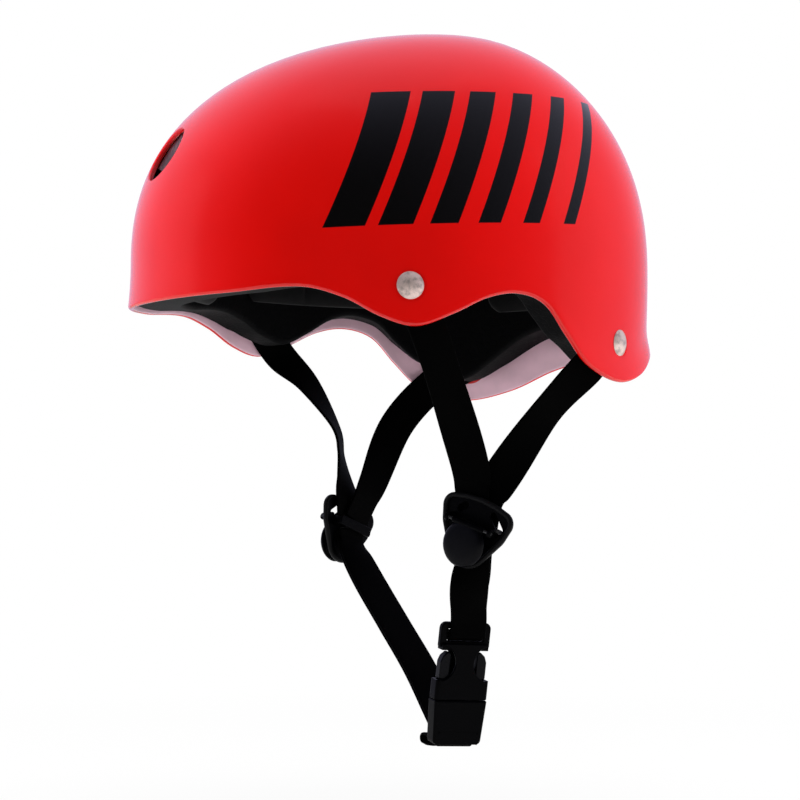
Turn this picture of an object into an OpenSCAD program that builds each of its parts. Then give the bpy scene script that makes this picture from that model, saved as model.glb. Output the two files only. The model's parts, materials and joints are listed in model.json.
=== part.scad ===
// Skate helmet: hard shell, foam liner, comfort pads, riveted webbing with
// two strap dividers, and a side release buckle.
// Front is -Y, the wearer's left is +X, and the origin lies on the vertical
// axis of the head at the level where the shell is widest.

/* [Shell] */
// Reach of the shell in front of the origin
shell_front = 145; // [138:1:152]
// Reach of the shell behind the origin
shell_rear = 133; // [127:1:140]
// Half the width of the shell
shell_half_width = 106.5; // [102:0.5:112]
// Height of the crown above the widest level
crown_height = 122; // [115:1:130]
// Distance of the crown behind the origin
crown_back = 30; // [20:1:36]
// Wall of the shell
shell_wall = 3; // [2.4:0.1:3.6]
// Outward curl of the edge behind the ears
edge_flare = 3; // [0:0.5:5]
// Height over which that curl fades out
flare_height = 9; // [5:1:15]

/* [Vents] */
// Diameter of each round vent
vent_d = 31; // [24:1:34]
// Climb of the front and rear vents from the widest level, in degrees of the dome
vent_climb = 23; // [20:1:28]
// Distance of the crown vent behind the origin
crown_vent_back = 20; // [10:1:30]

/* [Liner and pads] */
// Foam thickness at the brow and at the back
foam_ends = 25; // [18:1:27]
// Foam thickness at the sides
foam_side = 20; // [15:1:23]
// Foam thickness at the crown
foam_top = 24; // [18:1:28]
// Gap between the shell and the liner
liner_gap = 0.4; // [0.3:0.1:1]
// Thickness of a comfort pad at its middle
pad_thick = 9; // [6:0.5:12]
// Thickness of a comfort pad at its rim
pad_rim = 2.5; // [1.5:0.5:4]
// Diameter of the hook patches that hold the pads
patch_d = 16; // [12:1:20]

/* [Webbing and rivets] */
// Width of the webbing
webbing_w = 19; // [16:0.5:20]
// Thickness of one layer of webbing
webbing_t = 1.5; // [1.1:0.1:1.6]
// Diameter of a rivet head
rivet_d = 13.5; // [10:0.5:15]
// Height of the domed rivet head
rivet_h = 2.4; // [1.5:0.1:3]
// Diameter of the rivet shank
shank_d = 4.8; // [4:0.1:6]

/* [Dividers] */
// Width of a divider across its two upper corners
divider_w = 41; // [40:0.5:46]
// Thickness of the divider plate
divider_t = 2.5; // [2:0.1:3]
// Diameter of the round lock cap
cap_d = 22; // [21:0.5:25]
// Turn of the left divider towards the front
left_turn = 58; // [40:1:62]
// Lean of the left divider's top edge
left_tilt = 20; // [15:1:30]
// Turn of the right divider towards the front
right_turn = 24; // [10:1:40]
// Lean of the right divider's top edge
right_tilt = 18; // [10:1:30]

/* [Buckle] */
// Width of the buckle
buckle_w = 29; // [28:0.5:31]
// Thickness of the buckle
buckle_t = 8; // [7.5:0.1:9]
// Length of the socket
socket_len = 38.5; // [38:0.5:42]
// Length of the plug's base, below the seam
plug_len = 22.5; // [22:0.5:26]
// Lean of the buckle towards the wearer's left
buckle_lean = 8.5; // [0:0.5:12]

/* [Hidden] */
$fn = 48;

// Shape of the dome: 2 is an ellipse, and more is squarer
front_fullness = 2.26;
rear_fullness = 1.77;
side_fullness = 2.7;
dome_fullness = 2.25;
corner_fullness = 0.01;
// Share by which the plan is narrower in front and wider behind
egg = 0.034;
// Change of reach at a depth of one brow_depth below the widest level
brow_depth = 50;
brow_swell = 0.042;
nape_tuck = 0.019;
// Half shell sizes as the radii of one skin: front, rear, side, crown
OUTER = [shell_front, shell_rear, shell_half_width, crown_height];
INNER = inset(OUTER, shell_wall);
FOAM_BACK = inset(INNER, liner_gap);
FOAM_FACE = [FOAM_BACK[0] - foam_ends, FOAM_BACK[1] - foam_ends,
    FOAM_BACK[2] - foam_side, FOAM_BACK[3] - foam_top];
patch_t = 0.8;
patch_gap = 0.2;
pad_gap = patch_t + 1.2;
PAD_BACK = inset(FOAM_FACE, pad_gap);
// Angle from the front and level of each hook patch: brow, nape, sides, crown
PATCHES = [[-30, -3], [0, -3], [30, -3], [155, 1], [180, 1], [205, 1],
    [75, 3], [107, 3], [-75, 3], [-107, 3], [0, 66], [90, 66], [180, 66], [270, 66]];

// Height of the rim against the angle from the front: brow, ear flap, arch, nape
RIM = [[0, -24.5], [35, -22.8], [52, -20.8], [61, -26], [69, -35], [76.5, -39.3],
    [84, -32.6], [91, -24.4], [98, -21.6], [105, -26.5], [111, -40.5], [118, -54.5],
    [129, -61.5], [141, -56.5], [153, -46], [166, -41], [180, -39.5]];
// Columns round the shell and the liner, and rings of the dome in degrees
shell_columns = 80;
liner_columns = 48;
DOME_RINGS = [0, 9, 18, 27, 36, 45, 54, 63, 71, 78, 83, 87];
rim_rings = 3;

// Rivets: angle from the front and height, on the shell
FRONT_RIVET = [74.4, -19.8];
REAR_RIVET = [129.8, -41.5];
rivet_seat = 0.5;
seat_margin = 0.9;
strap_gap = 1.3;
washer_gap = 0.4;
washer_t = 1;
washer_d = 11;
strap_depth = shell_wall + strap_gap + webbing_t / 2;
washer_depth = shell_wall + strap_gap + webbing_t + washer_gap;
clinch_t = 0.8;
clinch_d = 8;
// Pocket of the liner round each rivet, open down to the edge
pocket_depth = washer_depth + washer_t + clinch_t + 1;
pocket_side = 9;
pocket_w = webbing_w * 1.25 + 2 * pocket_side;
pocket_run = 40;
vent_clearance = 3;
fit = 0.3;
running = 0.06;
// Reach of a cutter past a flat face, and past a curved one
past = 1;
past_curve = 10;

// Dividers: middle of the plate's inner face
LEFT_DIVIDER = [76.5, 3.1, -134.8];
RIGHT_DIVIDER = [-76.5, 2.6, -133.2];
divider_corner_r = 6.3;
divider_corner_v = 7;
divider_recess = 0.5;
divider_rim_w = 1.6;
cap_v = -9.5;
// Plate left round the lock cap, and the window behind it
chin_drop = 0.5;
chin_rim = 0.7;
window_r = cap_d / 2 - 3;
hinge_v = 1.5;
chin_t = 2 * webbing_t;
cap_w0 = divider_t + chin_t + 2 * fit;
cap_t = 3;
hinge_w = cap_w0 + cap_t / 2;
// Arm between the cap's disc and its hinge barrel
arm_inset = 0.4;
arm_v = cap_v + 3;
groove_depth = 0.6;
groove_r = cap_d / 2 - 1.6;
groove_w = 1;
pin_r = 0.8;
barrel_r = 1.6;
lug_r = 2.2;
lug_t = 2.2;
lug_u = webbing_w / 2 + lug_t;
slot_u = 8.2;
slot_v = 5.3;
slot_play = 0.1;
slot_angle = 37.5;
slot_w = 2.8;

// Buckle: middle of the seam between the socket and the plug
SEAM = [55.4, 3.9, -219.5];
buckle_roll = 2.5;
buckle_wall = 1.5;
collar_h = 10;
ladder_len = 13.2;
ladder_z = socket_len - ladder_len;
ladder_floor = 2;
ladder_bar_r = 1.2;
ladder_bar_z = socket_len - 6.5;
ladder_room = 3.2;
bar_sink = 0.5;
neck_in = 1.4;
neck_h = 2.5;
ear_in = 0.7;
ear_corner = 3;
// Thumb notches, from the collar to the ladder's floor
notch_low = collar_h - 0.7;
notch_high = ladder_z + ladder_floor;
notch_r = (notch_high - notch_low) / 2;
notch_up = (notch_high + notch_low) / 2;
notch_out = buckle_w / 2 - 0.5;
// Catch between a prong and the nub inside the collar
catch_gap = 0.1;
nub_t = 2.4;
nub_h = 1.8;
nub_top = collar_h - 2 * catch_gap;
nub_reach = 1.4;
nub_room = 0.4;
slot_half = webbing_w / 2 + 0.7;
plug_bar_r = 1.6;
plug_bar_z = 2 - plug_len;
plug_taper = 1.4;
plug_corner = 1.5;
loop_room = 8;
// Prongs: play in the socket, seat in the plug, and nose from the outer face and the tip
prong_gap = 0.2;
prong_root_r = 1.5;
root_room = 0.4;
prong_t = buckle_t - 2 * buckle_wall - 2 * prong_gap;
prong_out = buckle_w / 2 - buckle_wall - prong_gap;
prong_shank = prong_out - nub_reach - fit;
prong_arm = 2.6;
prong_bend = 5;
prong_chamfer = 1;
prong_head_w = 5.4;
prong_in = prong_out - prong_head_w;
prong_tip = ladder_z - 1;
prong_shoulder = collar_h + catch_gap;
PRONG_NOSE = [[0, -5.3], [-1.2, -2.3], [-4, 0]];
guide_half = 3.2;
guide_t = 2.4;
guide_top = ladder_z - 6.3;

function inset(skin, by) = [for (reach = skin) reach - by];
function smooth(x) = let (t = min(1, max(0, x))) t * t * (3 - 2 * t);
function turned(a) = let (b = (a % 360 + 360) % 360) b > 180 ? 360 - b : b;
function rim_slope(i) = i == 0 || i == len(RIM) - 1 ? 0
    : (RIM[i + 1][1] - RIM[i - 1][1]) / (RIM[i + 1][0] - RIM[i - 1][0]);
function rim_piece(a, i = 0) = i == len(RIM) - 2 || a <= RIM[i + 1][0] ? i : rim_piece(a, i + 1);
// Height of the shell's rim at an angle from the front, by cubic pieces
function rim_z(angle) = let (
        a = turned(angle),
        i = rim_piece(a),
        span = RIM[i + 1][0] - RIM[i][0],
        t = (a - RIM[i][0]) / span,
        u = 1 - t)
    u * u * (1 + 2 * t) * RIM[i][1] + t * t * (3 - 2 * t) * RIM[i + 1][1]
    + span * t * u * (u * rim_slope(i) - t * rim_slope(i + 1));
// Height of the liner's edge above the rim: low at the brow, high at the nape
function liner_lift(angle) = let (a = turned(angle))
    2 + 3.5 * smooth((a - 50) / 25) + 12.5 * smooth((a - 100) / 28);
// Point of a skin: level is a height below 0, and degrees of the dome above 0
function skin_point(skin, angle, level) = let (
        c = level > 0 ? cos(level) : 1,
        z = level > 0 ? skin[3] * pow(sin(level), 2 / dome_fullness) : level,
        deep = level > 0 ? 0 : pow(level / brow_depth, 2),
        front = crown_back - (skin[0] * (1 + brow_swell * deep) + crown_back) * pow(c, 2 / front_fullness),
        rear = crown_back + (skin[1] * (1 - nape_tuck * deep) - crown_back) * pow(c, 2 / rear_fullness),
        square = 1 + corner_fullness * pow(sin(2 * angle), 2),
        curl = edge_flare * smooth((turned(angle) - 104) / 30)
            * exp(-pow((z - rim_z(angle)) / flare_height, 2)),
        x = skin[2] * pow(c, 2 / side_fullness) * sin(angle) * square * (1 - egg * cos(angle)),
        y = (front + rear) / 2 - (rear - front) / 2 * cos(angle) * square)
    [x + curl * sin(angle), y - curl * cos(angle), z];
function unit(v) = v / norm(v);
function skin_normal(skin, angle, level) = unit(cross(
    skin_point(skin, angle + 1, level) - skin_point(skin, angle - 1, level),
    skin_point(skin, angle, level + 1) - skin_point(skin, angle, level - 1)));

// A dome between two skins, with an open edge at the height edge(angle) plus lift
function dome_levels(edge) = concat([for (i = [0 : rim_rings - 1]) edge * (1 - i / rim_rings)], DOME_RINGS);
module dome(outside, inside, columns, lifted) {
    rings = rim_rings + len(DOME_RINGS);
    layer = columns * rings + 1;
    points = [for (skin = [outside, inside]) each concat(
        [for (j = [0 : columns - 1]) let (a = 360 * j / columns,
            levels = dome_levels(rim_z(a) + (lifted ? liner_lift(a) : 0)))
            for (level = levels) skin_point(skin, a, level)],
        [[0, crown_back, skin[3]]])];
    faces = [for (j = [0 : columns - 1]) let (k = (j + 1) % columns) each concat(
        [for (i = [0 : rings - 2]) each two_faces(j * rings + i, k * rings + i)],
        [for (i = [0 : rings - 2]) each two_faces(layer + k * rings + i, layer + j * rings + i)],
        [[j * rings + rings - 1, layer - 1, k * rings + rings - 1],
            [layer + j * rings + rings - 1, layer + k * rings + rings - 1, 2 * layer - 1],
            [j * rings, k * rings, layer + k * rings], [j * rings, layer + k * rings, layer + j * rings]])];
    polyhedron(points, faces, convexity = 6);
}
function two_faces(a, b) = [[a, a + 1, b + 1], [a, b + 1, b]];

// Stands children on a skin, with +Z along its outward normal
module on_skin(skin, angle, level) {
    n = skin_normal(skin, angle, level);
    translate(skin_point(skin, angle, level)) rotate([0, acos(n[2]), atan2(n[1], n[0])]) children();
}
module at_rivets() {
    for (side = [1, -1], spot = [FRONT_RIVET, REAR_RIVET]) on_skin(OUTER, side * spot[0], spot[1]) children();
}
module vents(extra, depth) {
    for (a = [0, 180]) on_skin(OUTER, a, vent_climb)
        translate([0, 0, -depth]) cylinder(h = depth + past_curve, d = vent_d + extra);
    translate([0, crown_vent_back, crown_height - depth])
        cylinder(h = depth + past_curve, d = vent_d + extra);
}

module outer_shell() {
    color("red") difference() {
        dome(OUTER, INNER, shell_columns, false);
        vents(0, shell_wall + past_curve);
        at_rivets() {
            translate([0, 0, -rivet_seat]) cylinder(h = past_curve, d = rivet_d + 2 * seat_margin);
            translate([0, 0, -2 * shell_wall]) cylinder(h = 3 * shell_wall, d = shank_d + 2 * fit);
        }
    }
}

module foam_liner() {
    color([0.12, 0.12, 0.13]) difference() {
        dome(FOAM_BACK, FOAM_FACE, liner_columns, true);
        vents(vent_clearance, 2 * foam_ends);
        at_rivets() {
            translate([0, 0, -pocket_depth]) cylinder(h = pocket_depth, d = pocket_w);
            translate([0, -pocket_w / 2, -pocket_depth]) cube([pocket_run, pocket_w, pocket_depth]);
        }
    }
}

// A cushion on the liner between two angles, from low(angle) up to a ring of the dome
module cushion(from, to, low, high, across, up) {
    function level(i) = low + (high - low) * i / up;
    function swell(i, j) = let (u = 2 * j / across - 1, v = 2 * i / up - 1)
        pad_rim + (pad_thick - pad_rim) * sqrt((1 - pow(u, 4)) * (1 - pow(v, 4)));
    function angle(i, j) = let (v = 2 * i / up - 1, u = 2 * j / across - 1)
        (from + to) / 2 + (to - from) / 2 * u * (1 - 0.1 * pow(v, 4));
    stride = (across + 1) * (up + 1);
    points = [for (face = [0, 1], j = [0 : across], i = [0 : up])
        skin_point(inset(PAD_BACK, face * swell(i, j)), angle(i, j), level(i))];
    back = [for (j = [0 : across - 1], i = [0 : up - 1])
        each two_faces(j * (up + 1) + i, (j + 1) * (up + 1) + i)];
    edge = concat([for (j = [0 : across]) j * (up + 1)],
        [for (i = [1 : up]) across * (up + 1) + i],
        [for (j = [across - 1 : -1 : 0]) j * (up + 1) + up],
        [for (i = [up - 1 : -1 : 1]) i]);
    sides = [for (k = [0 : len(edge) - 1]) let (a = edge[k], b = edge[(k + 1) % len(edge)])
        each [[a, b, b + stride], [a, b + stride, a + stride]]];
    front = [for (f = back) [f[0] + stride, f[2] + stride, f[1] + stride]];
    polyhedron(points, concat(back, front, sides), convexity = 4);
}

module front_pad() { color([0.08, 0.08, 0.09]) cushion(-46, 46, -17, 12, 14, 6); }
module rear_pad() { color([0.08, 0.08, 0.09]) cushion(140, 220, -14, 14, 12, 6); }
module left_pad() { color([0.08, 0.08, 0.09]) cushion(60, 122, -12, 20, 10, 6); }
module right_pad() { color([0.08, 0.08, 0.09]) cushion(-122, -60, -12, 20, 10, 6); }

// The crown pad is a ring round the crown vent
module crown_pad() {
    around = 28;
    steps = 6;
    ring_from = 58;
    ring_to = 74;
    loop = 2 * steps;
    function ring_point(j, s) = let (
            out = s <= steps,
            t = out ? s / steps : (loop - s) / steps,
            v = 2 * t - 1,
            depth = out ? 0 : pad_rim + (pad_thick - pad_rim) * sqrt(1 - pow(v, 4)))
        skin_point(inset(PAD_BACK, depth), 360 * j / around, ring_from + (ring_to - ring_from) * t);
    points = [for (j = [0 : around - 1], s = [0 : loop - 1]) ring_point(j, s)];
    faces = [for (j = [0 : around - 1], s = [0 : loop - 1]) let (
            k = (j + 1) % around, r = (s + 1) % loop,
            a = j * loop + s, b = k * loop + s, c = k * loop + r, d = j * loop + r)
        each [[a, d, c], [a, c, b]]];
    color([0.08, 0.08, 0.09]) polyhedron(points, faces, convexity = 4);
}

module hook_patches() {
    color([0.2, 0.2, 0.2]) for (spot = PATCHES) on_skin(FOAM_FACE, spot[0], spot[1])
        translate([0, 0, patch_gap - pad_gap]) cylinder(h = patch_t, d = patch_d);
}

module strap_rivets() {
    head_r = rivet_d / 2;
    dome_r = (head_r * head_r + rivet_h * rivet_h) / (2 * rivet_h);
    shank_r = shank_d / 2;
    low = -washer_depth - washer_t;
    arc = [for (i = [0 : 8]) let (a = asin(head_r / dome_r) * (1 - i / 8))
        [dome_r * sin(a), dome_r * (cos(a) - 1) + rivet_h - rivet_seat]];
    color("silver") at_rivets() rotate_extrude() polygon(concat(
        [[0, low - clinch_t], [clinch_d / 2, low - clinch_t], [clinch_d / 2, low], [shank_r, low],
            [shank_r, -rivet_seat]], arc));
}

module rivet_washers() {
    color("silver") at_rivets() translate([0, 0, -washer_depth - washer_t]) difference() {
        cylinder(h = washer_t, d = washer_d);
        translate([0, 0, -past]) cylinder(h = washer_t + 2 * past, d = shank_d + 2 * running);
    }
}

// Webbing along a smooth curve through stations of [point, direction across the width]
function knot(s, i) = s[min(len(s) - 1, max(0, i))];
function blend4(a, b, c, d, t) = 0.5 * (2 * b + (c - a) * t + (2 * a - 5 * b + 4 * c - d) * t * t
    + (3 * b - a - 3 * c + d) * t * t * t);
function along(s, t) = let (i = min(len(s) - 2, floor(t)), f = t - i)
    blend4(knot(s, i - 1), knot(s, i), knot(s, i + 1), knot(s, i + 2), f);
module webbing(stations, layers = 1, steps = 5) {
    spans = (len(stations) - 1) * steps;
    middles = [for (s = stations) s[0]];
    acrosses = [for (s = stations) s[1]];
    function middle(i) = along(middles, i / steps);
    function tangent(i) = unit(middle(min(spans, i + 1)) - middle(max(0, i - 1)));
    rings = [for (i = [0 : spans]) let (
            t = tangent(i),
            raw = along(acrosses, i / steps),
            w = unit(raw - t * (raw * t)),
            n = cross(t, w))
        each [for (c = [[-1, -1], [1, -1], [1, 1], [-1, 1]])
            middle(i) + w * c[0] * webbing_w / 2 + n * c[1] * layers * webbing_t / 2]];
    sides = [for (i = [0 : spans - 1], c = [0 : 3]) let (
            a = 4 * i + c, b = 4 * i + (c + 1) % 4)
        each [[a, b + 4, b], [a, a + 4, b + 4]]];
    ends = [[0, 1, 2], [0, 2, 3], [4 * spans, 4 * spans + 2, 4 * spans + 1],
        [4 * spans, 4 * spans + 3, 4 * spans + 2]];
    polyhedron(rings, concat(sides, ends), convexity = 4);
}
// Place under the wall at an angle and level near a rivet, and the wall's normal there
function wall_station(side, spot, turn, level) = let (
        a = side * (spot[0] + turn), z = level,
        n = skin_normal(OUTER, a, z))
    [skin_point(OUTER, a, z) - n * strap_depth, n];

module rivet_holes(side) {
    for (spot = [FRONT_RIVET, REAR_RIVET]) on_skin(OUTER, side * spot[0], spot[1])
        translate([0, 0, -2 * strap_depth]) cylinder(h = 2 * strap_depth, d = shank_d + 2 * fit);
}
module hung_strap(side, spot, start_turn, start_level, rim_turn, rim_level, run) {
    top = wall_station(side, spot, start_turn, start_level);
    pin = wall_station(side, spot, 0, spot[1]);
    low = wall_station(side, spot, rim_turn, rim_level);
    line = unit(low[0] - top[0]);
    stations = concat([for (s = [top, pin, low]) [s[0], side * unit(cross(s[1], line))]], run);
    color([0.06, 0.06, 0.06]) difference() {
        webbing(stations);
        rivet_holes(side);
    }
}
// Way in the part of a way in a divider's frame, and a strap's station by its place there
function divider_way(side, turn, tilt, v) = let (
        y = v[1] * cos(tilt) + v[2] * sin(tilt),
        z = v[2] * cos(tilt) - v[1] * sin(tilt))
    [side * (v[0] * cos(turn) + y * sin(turn)), y * cos(turn) - v[0] * sin(turn), z];
function left_station(p, across) = [LEFT_DIVIDER + divider_way(1, left_turn, left_tilt, p),
    divider_way(1, left_turn, left_tilt, across)];
function right_station(p, across) = [RIGHT_DIVIDER + divider_way(-1, right_turn, right_tilt, p),
    divider_way(-1, right_turn, right_tilt, across)];
LEFT_FRONT_RUN = [[[92, -19.6, -68.4], [0.1, 0.9, 0.4]], [[78.3, -1, -103.4], [0.6, 0.75, 0.2]],
    left_station([-1.5, -8.7, 15.6], [0, 0.88, 0.47]), left_station([-1.1, -1.3, 1], [0, 0.88, 0.47])];
LEFT_REAR_RUN = [[[86.5, 38.4, -76.6], [-0.3, 0.75, -0.55]], [[80.3, 14.7, -110.8], [0.4, 0.75, -0.5]],
    left_station([-3.7, -0.7, 14.8], [0, 1, 0.08]), left_station([-3.2, 0.9, 1.3], [0, 1, 0.08])];
RIGHT_FRONT_RUN = [[[-94, -14, -54], [0.35, 0.9, 0.25]], [[-88, 0, -78], [0.85, 0.5, 0.1]],
    [[-84.4, 1.8, -93], [0.8, 0.6, 0.1]], [[-78.4, 1.8, -108], [-0.2, 0.95, 0]],
    right_station([-2.1, -6.2, 12.9], [0, 0.9, 0.43]), right_station([-1.1, -0.4, 1.1], [0, 0.9, 0.43])];
RIGHT_REAR_RUN = [[[-85.5, 36, -77], [0.3, 0.75, -0.55]], [[-75.5, 17.2, -109], [-0.2, 0.9, -0.4]],
    right_station([-4.8, 3.2, 13.9], [0, 1, 0.1]), right_station([-3.4, 1.2, 2.9], [0, 1, 0.1])];

module left_front_strap() { hung_strap(1, FRONT_RIVET, -1.5, -10, 3.2, -38, LEFT_FRONT_RUN); }
module left_rear_strap() { hung_strap(1, REAR_RIVET, 4.5, -38, -9, -53, LEFT_REAR_RUN); }
module right_front_strap() { hung_strap(-1, FRONT_RIVET, -1.5, -10, 3.2, -38, RIGHT_FRONT_RUN); }
module right_rear_strap() { hung_strap(-1, REAR_RIVET, 4.5, -38, -9, -53, RIGHT_REAR_RUN); }

// Divider frame: +X out of the plate, +Y along its top edge, +Z up its axis
module left_frame() {
    translate(LEFT_DIVIDER) rotate([0, 0, -left_turn]) rotate([-left_tilt, 0, 0]) children();
}
module right_frame() {
    translate(RIGHT_DIVIDER) mirror([1, 0, 0])
        rotate([0, 0, -right_turn]) rotate([-right_tilt, 0, 0]) children();
}
// Lays a flat outline drawn as (across, up) on the plate, from depth a to depth b
module slab(a, b) { translate([a, 0, 0]) rotate([90, 0, 90]) linear_extrude(b - a) children(); }
module bar_across(r, half) { rotate([-90, 0, 0]) translate([0, 0, -half]) cylinder(h = 2 * half, r = r); }

module divider_outline() {
    corner_u = divider_w / 2 - divider_corner_r;
    hull() {
        for (s = [-1, 1]) translate([s * corner_u, divider_corner_v]) circle(divider_corner_r, $fn = 32);
        translate([0, cap_v + chin_drop]) circle(cap_d / 2 + chin_rim);
    }
}
module divider_plate() {
    color([0.1, 0.1, 0.1]) {
        difference() {
            slab(0, divider_t) divider_outline();
            slab(divider_t - divider_recess, divider_t + past) offset(-divider_rim_w) divider_outline();
            slab(-past, divider_t + past) translate([0, cap_v]) circle(window_r);
            for (s = [-1, 1]) slab(-past, divider_t + past) translate([s * slot_u, slot_v])
                rotate(-s * slot_angle) square([webbing_w + 2 * slot_play, slot_w], center = true);
        }
        for (s = [-1, 1]) difference() {
            union() {
                slab(0, hinge_w) translate([s * (lug_u + lug_t / 2), hinge_v])
                    square([lug_t, 2 * lug_r], center = true);
                translate([hinge_w, s * (lug_u + lug_t / 2), hinge_v]) bar_across(lug_r, lug_t / 2);
            }
            translate([hinge_w, s * (lug_u + lug_t / 2), hinge_v]) bar_across(pin_r, lug_t);
        }
    }
}
module divider_pin() {
    color("silver") translate([hinge_w, 0, hinge_v]) bar_across(pin_r, lug_u + lug_t);
}
module divider_cap() {
    half = lug_u - fit;
    color([0.13, 0.13, 0.14]) difference() {
        union() {
            slab(cap_w0, cap_w0 + cap_t) translate([0, cap_v]) circle(cap_d / 2);
            slab(cap_w0 + arm_inset, cap_w0 + cap_t - arm_inset)
                translate([-half, arm_v]) square([2 * half, hinge_v - arm_v]);
            translate([hinge_w, 0, hinge_v]) bar_across(barrel_r, half);
        }
        translate([hinge_w, 0, hinge_v]) bar_across(pin_r + running, half + past);
        slab(cap_w0 + cap_t - groove_depth, cap_w0 + cap_t + past) translate([0, cap_v]) difference() {
            circle(groove_r);
            circle(groove_r - groove_w);
        }
    }
}
module left_divider() { left_frame() divider_plate(); }
module left_divider_pin() { left_frame() divider_pin(); }
module left_divider_cap() { left_frame() divider_cap(); }
module right_divider() { right_frame() divider_plate(); }
module right_divider_pin() { right_frame() divider_pin(); }
module right_divider_cap() { right_frame() divider_cap(); }

// Buckle frame: +X out of its face, +Y across its width, +Z up to the left strap
module buckle_frame() { translate(SEAM) rotate([0, buckle_lean, 0]) rotate([-buckle_roll, 0, 0]) children(); }
module face_slab(t) { translate([-t / 2, 0, 0]) rotate([90, 0, 90]) linear_extrude(t) children(); }

module socket_outline() {
    half = buckle_w / 2;
    difference() {
        for (s = [-1, 1]) scale([s, 1]) polygon([[0, 0], [half, 0], [half, collar_h],
            [half - neck_in, ladder_z], [half - ear_in, ladder_z + neck_h],
            [half - ear_in, socket_len - ear_corner], [half - ear_corner, socket_len], [0, socket_len]]);
        for (s = [-1, 1]) translate([s * notch_out, notch_up]) circle(notch_r);
    }
}
module buckle_socket() {
    inner_w = buckle_w - 2 * buckle_wall;
    inner_t = buckle_t - 2 * buckle_wall;
    color([0.1, 0.1, 0.1]) buckle_frame() {
        difference() {
            face_slab(buckle_t) socket_outline();
            translate([-inner_t / 2, -inner_w / 2, -past]) cube([inner_t, inner_w, ladder_z]);
            for (s = [0, 1]) mirror([s, 0, 0]) translate([ladder_bar_r, -buckle_w, ladder_z + ladder_floor])
                cube([buckle_t, 2 * buckle_w, socket_len]);
            translate([-buckle_t, -slot_half, ladder_bar_z - ladder_room])
                cube([2 * buckle_t, 2 * slot_half, 2 * ladder_room]);
        }
        translate([0, 0, ladder_bar_z]) bar_across(ladder_bar_r, slot_half + bar_sink);
        for (s = [-1, 1]) translate([0, s * (inner_w / 2 - nub_reach / 2), nub_top - nub_h / 2])
            cube([nub_t, nub_reach, nub_h], center = true);
    }
}

module plug_outline() {
    half = buckle_w / 2;
    for (s = [-1, 1]) scale([s, 1]) polygon([[0, 0], [half, 0], [half - plug_taper, plug_corner - plug_len],
        [half - plug_taper - plug_corner, -plug_len], [0, -plug_len]]);
}
module buckle_plug() {
    seat_y = prong_shank - prong_root_r;
    color([0.1, 0.1, 0.1]) buckle_frame() translate([0, 0, -fit]) {
        difference() {
            face_slab(buckle_t) plug_outline();
            translate([-buckle_t, -slot_half, -plug_len - past])
                cube([2 * buckle_t, 2 * slot_half, loop_room + past]);
            for (s = [-1, 1]) translate([0, s * seat_y, -prong_root_r]) {
                rotate([0, 90, 0])
                    cylinder(h = prong_t + prong_gap, r = prong_root_r + running, center = true);
                translate([0, 0, prong_root_r]) cube([prong_t + prong_gap, 2 * (prong_root_r + root_room),
                    2 * prong_root_r], center = true);
            }
        }
        translate([0, 0, plug_bar_z]) bar_across(plug_bar_r, slot_half + bar_sink);
        translate([-guide_t / 2, -guide_half, -past]) cube([guide_t, 2 * guide_half, guide_top + past]);
    }
}
module prong(side) {
    root_y = prong_shank - prong_root_r;
    inner = prong_shank - prong_arm;
    color([0.13, 0.13, 0.14]) buckle_frame() translate([0, 0, -fit]) mirror([0, 1 - side, 0]) difference() {
        union() {
            face_slab(prong_t) polygon(concat([[inner, -prong_root_r], [prong_shank, -prong_root_r],
                [prong_shank, prong_shoulder + fit], [prong_out, prong_shoulder + fit]],
                [for (p = PRONG_NOSE) [prong_out + p[0], prong_tip + p[1]]],
                [[prong_in, prong_tip - prong_chamfer], [prong_in, prong_shoulder], [inner, prong_bend]]));
            translate([0, root_y, -prong_root_r]) rotate([0, 90, 0])
                cylinder(h = prong_t, r = prong_root_r, center = true);
        }
        translate([-nub_t / 2 - nub_room, prong_shank - prong_gap, prong_shoulder + fit + nub_h])
            cube([nub_t + 2 * nub_room, prong_head_w, prong_tip]);
    }
}
module front_prong() { prong(-1); }
module rear_prong() { prong(1); }

// Place in the part of a point in the buckle's frame
function buckle_place(p) = let (
        y = p[1] * cos(buckle_roll) + p[2] * sin(buckle_roll),
        z = p[2] * cos(buckle_roll) - p[1] * sin(buckle_roll))
    SEAM + [p[0] * cos(buckle_lean) + z * sin(buckle_lean), y,
        z * cos(buckle_lean) - p[0] * sin(buckle_lean)];
ACROSS = [0, 1, 0];
BUCKLE_ACROSS = buckle_place([0, 1, 0]) - SEAM;
// A layer of webbing round a bar
module webbing_ring(bar_r) {
    difference() {
        bar_across(bar_r + fit / 2 + webbing_t, webbing_w / 2);
        bar_across(bar_r + fit / 2, webbing_w);
    }
}

// Left chin run: two layers from the divider down over the socket's ladder, round its bar
module left_chin_strap() {
    over = ladder_bar_r + fit + chin_t / 2;
    color([0.06, 0.06, 0.06]) {
        webbing([left_station([-2.1, 0.4, -3.4], [0, 1, 0.2]), left_station([-3.1, 2.9, -16], [0, 1, 0.1]),
            [[70.9, 2.6, -163], [0.45, 0.9, 0]], [[66.6, 4.4, -173.5], BUCKLE_ACROSS],
            [buckle_place([over, 0, socket_len]), BUCKLE_ACROSS],
            [buckle_place([over, 0, ladder_bar_z - bar_sink]), BUCKLE_ACROSS]], 2);
        buckle_frame() translate([0, 0, ladder_bar_z]) webbing_ring(ladder_bar_r);
    }
}
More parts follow.
